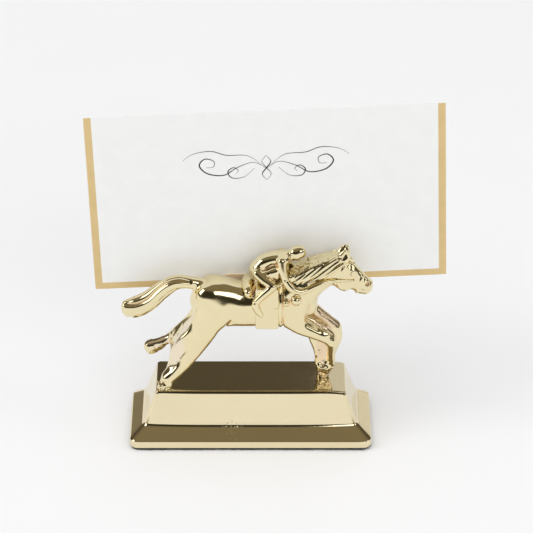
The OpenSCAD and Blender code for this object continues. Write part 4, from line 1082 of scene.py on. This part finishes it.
def build_rear_leaf():
    """Rear leaf with the fold: its section, outer face up, round the fold to the front
    leaf, and back inside, drawn along the card's width."""
    place = (card_place() @ Matrix.Translation((0, CARD_T / 2 + FOLD_IN, CARD_H - FOLD_R))
             @ Matrix.Rotation(math.radians(FOLD_ANGLE), 4, "X"))
    foot, round_end = FOLD_R - CARD_H, 180 + FOLD_ANGLE
    heights = [*np.linspace(foot, -1.0, 21), -0.5, -0.2]
    outer = [(FOLD_R - FOLD_DRAWN * max(0.0, 1 + z) ** 2, z) for z in heights]
    outer += arc(FOLD_R - FOLD_DRAWN, 0, round_end, 15)
    inner = arc(FOLD_IN, round_end, 0, 11) + [(FOLD_IN, z) for z in np.linspace(0, foot, 22)[1:]]
    loop = outer + inner
    xs = np.linspace(-CARD_W / 2, CARD_W / 2, 41)
    verts = [place @ Vector((x, y + max(0.0, -z / CARD_H) * bent(x, CARD_H + z) * 0.6, z))
             for x in xs for y, z in loop]
    n, last = len(loop), len(verts) - len(loop)
    faces = [face[::-1] for face in ring_faces(len(xs), n)]
    # The two ends are strips between the outer and the inner line
    matches = [n - 1 - round(k * (len(inner) - 1) / (len(outer) - 1)) for k in range(len(outer))]
    for j in range(len(outer) - 1):
        quad = [j, j + 1, matches[j + 1]] + [matches[j]] * (matches[j] != matches[j + 1])
        faces += [quad, [v + last for v in quad[::-1]]]
    obj = piece("card_rear", verts, faces, card_white, "card_rear", replaces=["card_rear_leaf"])
    sharpen(obj, 40)


def build_flourish():
    """A pen flourish of scrolls, of no letters, as thin strokes of ink on the card."""
    place, middle_z = card_place(), 34.0
    strokes = []

    def pen(points, thin, swell, side=1):
        """A stroke through the points, whose width swells in its middle."""
        line = smooth_rows(points, 10)
        width = thin + swell * np.sin(np.linspace(0, 3.14, len(line))) ** 2
        strokes.append(np.stack([side * line[:, 0], line[:, 1], width], 1))

    for side in (-1, 1):
        pen([(0.0, 0.0), (3.2, 1.9), (7.2, 0.6), (10.6, -1.5), (14.6, -0.9), (16.6, 1.5), (15.2, 3.4),
             (13.0, 2.7), (13.2, 1.0), (15.0, 0.9)], 0.10, 0.26, side)
        pen([(3.0, 0.2), (5.6, -2.2), (8.6, -2.4), (9.6, -0.6), (8.2, 0.6), (7.0, -0.3), (7.6, -1.2)],
            0.08, 0.2, side)
        pen([(1.2, 1.1), (4.6, 3.9), (9.8, 4.3), (13.6, 5.6), (18.0, 5.0), (20.6, 3.2)], 0.07, 0.16, side)
    for swell, side in ((0.24, -1), (0.1, 1)):
        pen([(0, -3.4), (1.1, -1.6), (0, 0.2), (-1.1, 2.0), (0, 3.8)], 0.08, swell, side)
    verts, faces = [], []
    for k, stroke in enumerate(strokes):
        way = np.gradient(stroke[:, :2], axis=0)
        way /= np.maximum(np.linalg.norm(way, axis=1), 1e-9)[:, None]
        lift = 0.012 + 0.002 * k
        for i, ((x, z, width), (dx, dz)) in enumerate(zip(stroke, way)):
            if i:
                start = len(verts) - 3
                faces += [(a, a + 1, a + 4, a + 3) for a in (start, start + 1)]
            for off, up in ((-0.5, 0.0), (0.0, 0.012), (0.5, 0.0)):
                px, pz = x - dz * width * off, z + dx * width * off + middle_z
                verts.append(place @ Vector((px, bent(px, pz) * 0.5 - CARD_T / 2 - lift - up, pz)))
    piece("card_flourish", verts, faces, ink, "card_front")


build_front_leaf()
build_rear_leaf()
build_flourish()


# CAD nodes that keep their meshes

KEPT_NODES = {"clip_front_leaf": rose_brass, "clip_rear_leaf": rose_brass, "clip_rivets": rose_brass,
              "hoof_screws": steel, "screw_washers": steel}
for name, material in KEPT_NODES.items():
    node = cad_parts[name]
    node.data.materials.clear()
    node.data.materials.append(material)
    bevel_edges(node, 0.06)


# Stage, light and camera


def build_floor():
    """The white table: a square of 8 m, a hundredth of a millimetre under the felt."""
    mesh = bpy.data.meshes.new("floor")
    s = 4.0
    mesh.from_pydata([(-s, -s, 0), (s, -s, 0), (s, s, 0), (-s, s, 0)], [], [(0, 1, 2, 3)])
    mat, tree, shader = nodes_of("studio_floor")
    cloud = noise(tree, place_coords(tree, (0.02, 0.02, 0.02)), 1.0, 2)
    tone = mixed(tree, cloud, (0.90, 0.90, 0.905), (0.92, 0.92, 0.925))
    feed(tree, shader, Base_Color=tone, Roughness=0.9, Specular_IOR_Level=0.1)
    mesh.materials.append(mat)
    floor = bpy.data.objects.new("floor", mesh)
    floor.location.z = -0.00001
    bpy.context.scene.collection.objects.link(floor)


def build_world():
    """White to the camera and even for matt surfaces. Polished metal sees a plain
    studio: bright at the horizon, dim above it."""
    world = bpy.data.worlds.new("studio")
    bpy.context.scene.world = world
    world.use_nodes = True
    tree = world.node_tree
    tree.nodes.clear()
    split = add(tree, "ShaderNodeSeparateXYZ", in_0=add(tree, "ShaderNodeTexCoord").outputs["Generated"])
    behind = ramp(tree, split.outputs["Z"], [
        (0.0, (0.95, 0.95, 0.95)), (0.035, (0.3, 0.27, 0.2)), (0.14, (0.17, 0.146, 0.1)),
        (0.42, (0.088, 0.075, 0.052)), (0.6, (0.085, 0.072, 0.05)), (0.85, (0.2, 0.165, 0.105)),
        (1.0, (0.22, 0.18, 0.12))])
    before = ramp(tree, split.outputs["Z"], [
        (0.0, (0.9, 0.9, 0.9)), (0.03, (0.7, 0.68, 0.6)), (0.07, (0.03, 0.025, 0.015)),
        (0.58, (0.04, 0.034, 0.022)), (0.72, (0.2, 0.17, 0.108)), (0.96, (0.23, 0.19, 0.12)),
        (1.0, (0.22, 0.18, 0.12))])
    side = remap(tree, split.outputs["Y"], -0.25, 0.25, 0, 1)
    room = add(tree, "ShaderNodeBackground", in_Color=mixed(tree, side, before, behind))
    even = add(tree, "ShaderNodeBackground", in_Color=(1, 1, 1, 1), in_Strength=0.63)
    white = add(tree, "ShaderNodeBackground", in_Color=(1, 1, 1, 1), in_Strength=1.0)
    ray = add(tree, "ShaderNodeLightPath").outputs
    # Only what polished metal mirrors sees the room. Matt surfaces are lit evenly,
    # also by way of the metal beside them.
    before_matt = add(tree, "ShaderNodeMath", operation="LESS_THAN", in_0=ray["Diffuse Depth"], in_1=0.5)
    mirrored = add(tree, "ShaderNodeMath", operation="MULTIPLY", in_0=ray["Is Glossy Ray"],
                   in_1=before_matt.outputs[0])
    lit = add(tree, "ShaderNodeMixShader", in_0=mirrored.outputs[0], in_1=even.outputs[0],
              in_2=room.outputs[0])
    seen = add(tree, "ShaderNodeMixShader", in_0=ray["Is Camera Ray"], in_1=lit.outputs[0],
               in_2=white.outputs[0])
    add(tree, "ShaderNodeOutputWorld", in_Surface=seen.outputs[0])


def softbox(name, azimuth, elevation, distance, width, height, radiance, mirrored=True):
    """A rectangular softbox that faces the object. Azimuth 0 is the camera's side."""
    lamp = bpy.data.lights.new(name, "AREA")
    lamp.shape = "RECTANGLE"
    lamp.size, lamp.size_y = width, height
    lamp.energy = radiance * math.pi * width * height
    obj = bpy.data.objects.new(name, lamp)
    az, el = math.radians(azimuth), math.radians(elevation)
    aim = Vector((0.003, 0, 0.035))
    across, up = math.cos(el), math.sin(el)
    spot = aim + distance * Vector((math.sin(az) * across, -math.cos(az) * across, up))
    obj.location = spot
    obj.rotation_euler = (spot - aim).to_track_quat("Z", "Y").to_euler()
    obj.visible_camera = False
    obj.visible_glossy = mirrored
    bpy.context.scene.collection.objects.link(obj)


def build_camera():
    """The camera fitted to the photograph: its focal length and width are in pixels."""
    focal_px, photo_px, sensor = 3305, 533, 36
    elevation, distance, target = math.radians(30), 0.8275, Vector((4.07, 0, 46.95)) * MM
    cam = bpy.data.cameras.new("camera")
    cam.sensor_width = sensor
    cam.lens = focal_px / photo_px * sensor
    cam.clip_start, cam.clip_end = 0.01, 20
    obj = bpy.data.objects.new("camera", cam)
    obj.location = target + distance * Vector((0, -math.cos(elevation), math.sin(elevation)))
    obj.rotation_euler = (math.pi / 2 - elevation, 0, 0)
    bpy.context.scene.collection.objects.link(obj)
    bpy.context.scene.camera = obj


build_floor()
build_world()
softbox("window", 27, 31, 2.2, 1.4, 0.75, 2.2)
softbox("key", -42, 62, 2.6, 2.2, 1.8, 1.55, mirrored=False)
softbox("left_box", -75, 28, 2.4, 1.1, 1.3, 2.4)
softbox("right_box", 78, 26, 2.4, 0.65, 1.0, 1.6)
softbox("rear_box", 160, 20, 2.4, 1.3, 1.5, 0.55)
build_camera()
bpy.context.scene.view_settings.view_transform = "Standard"
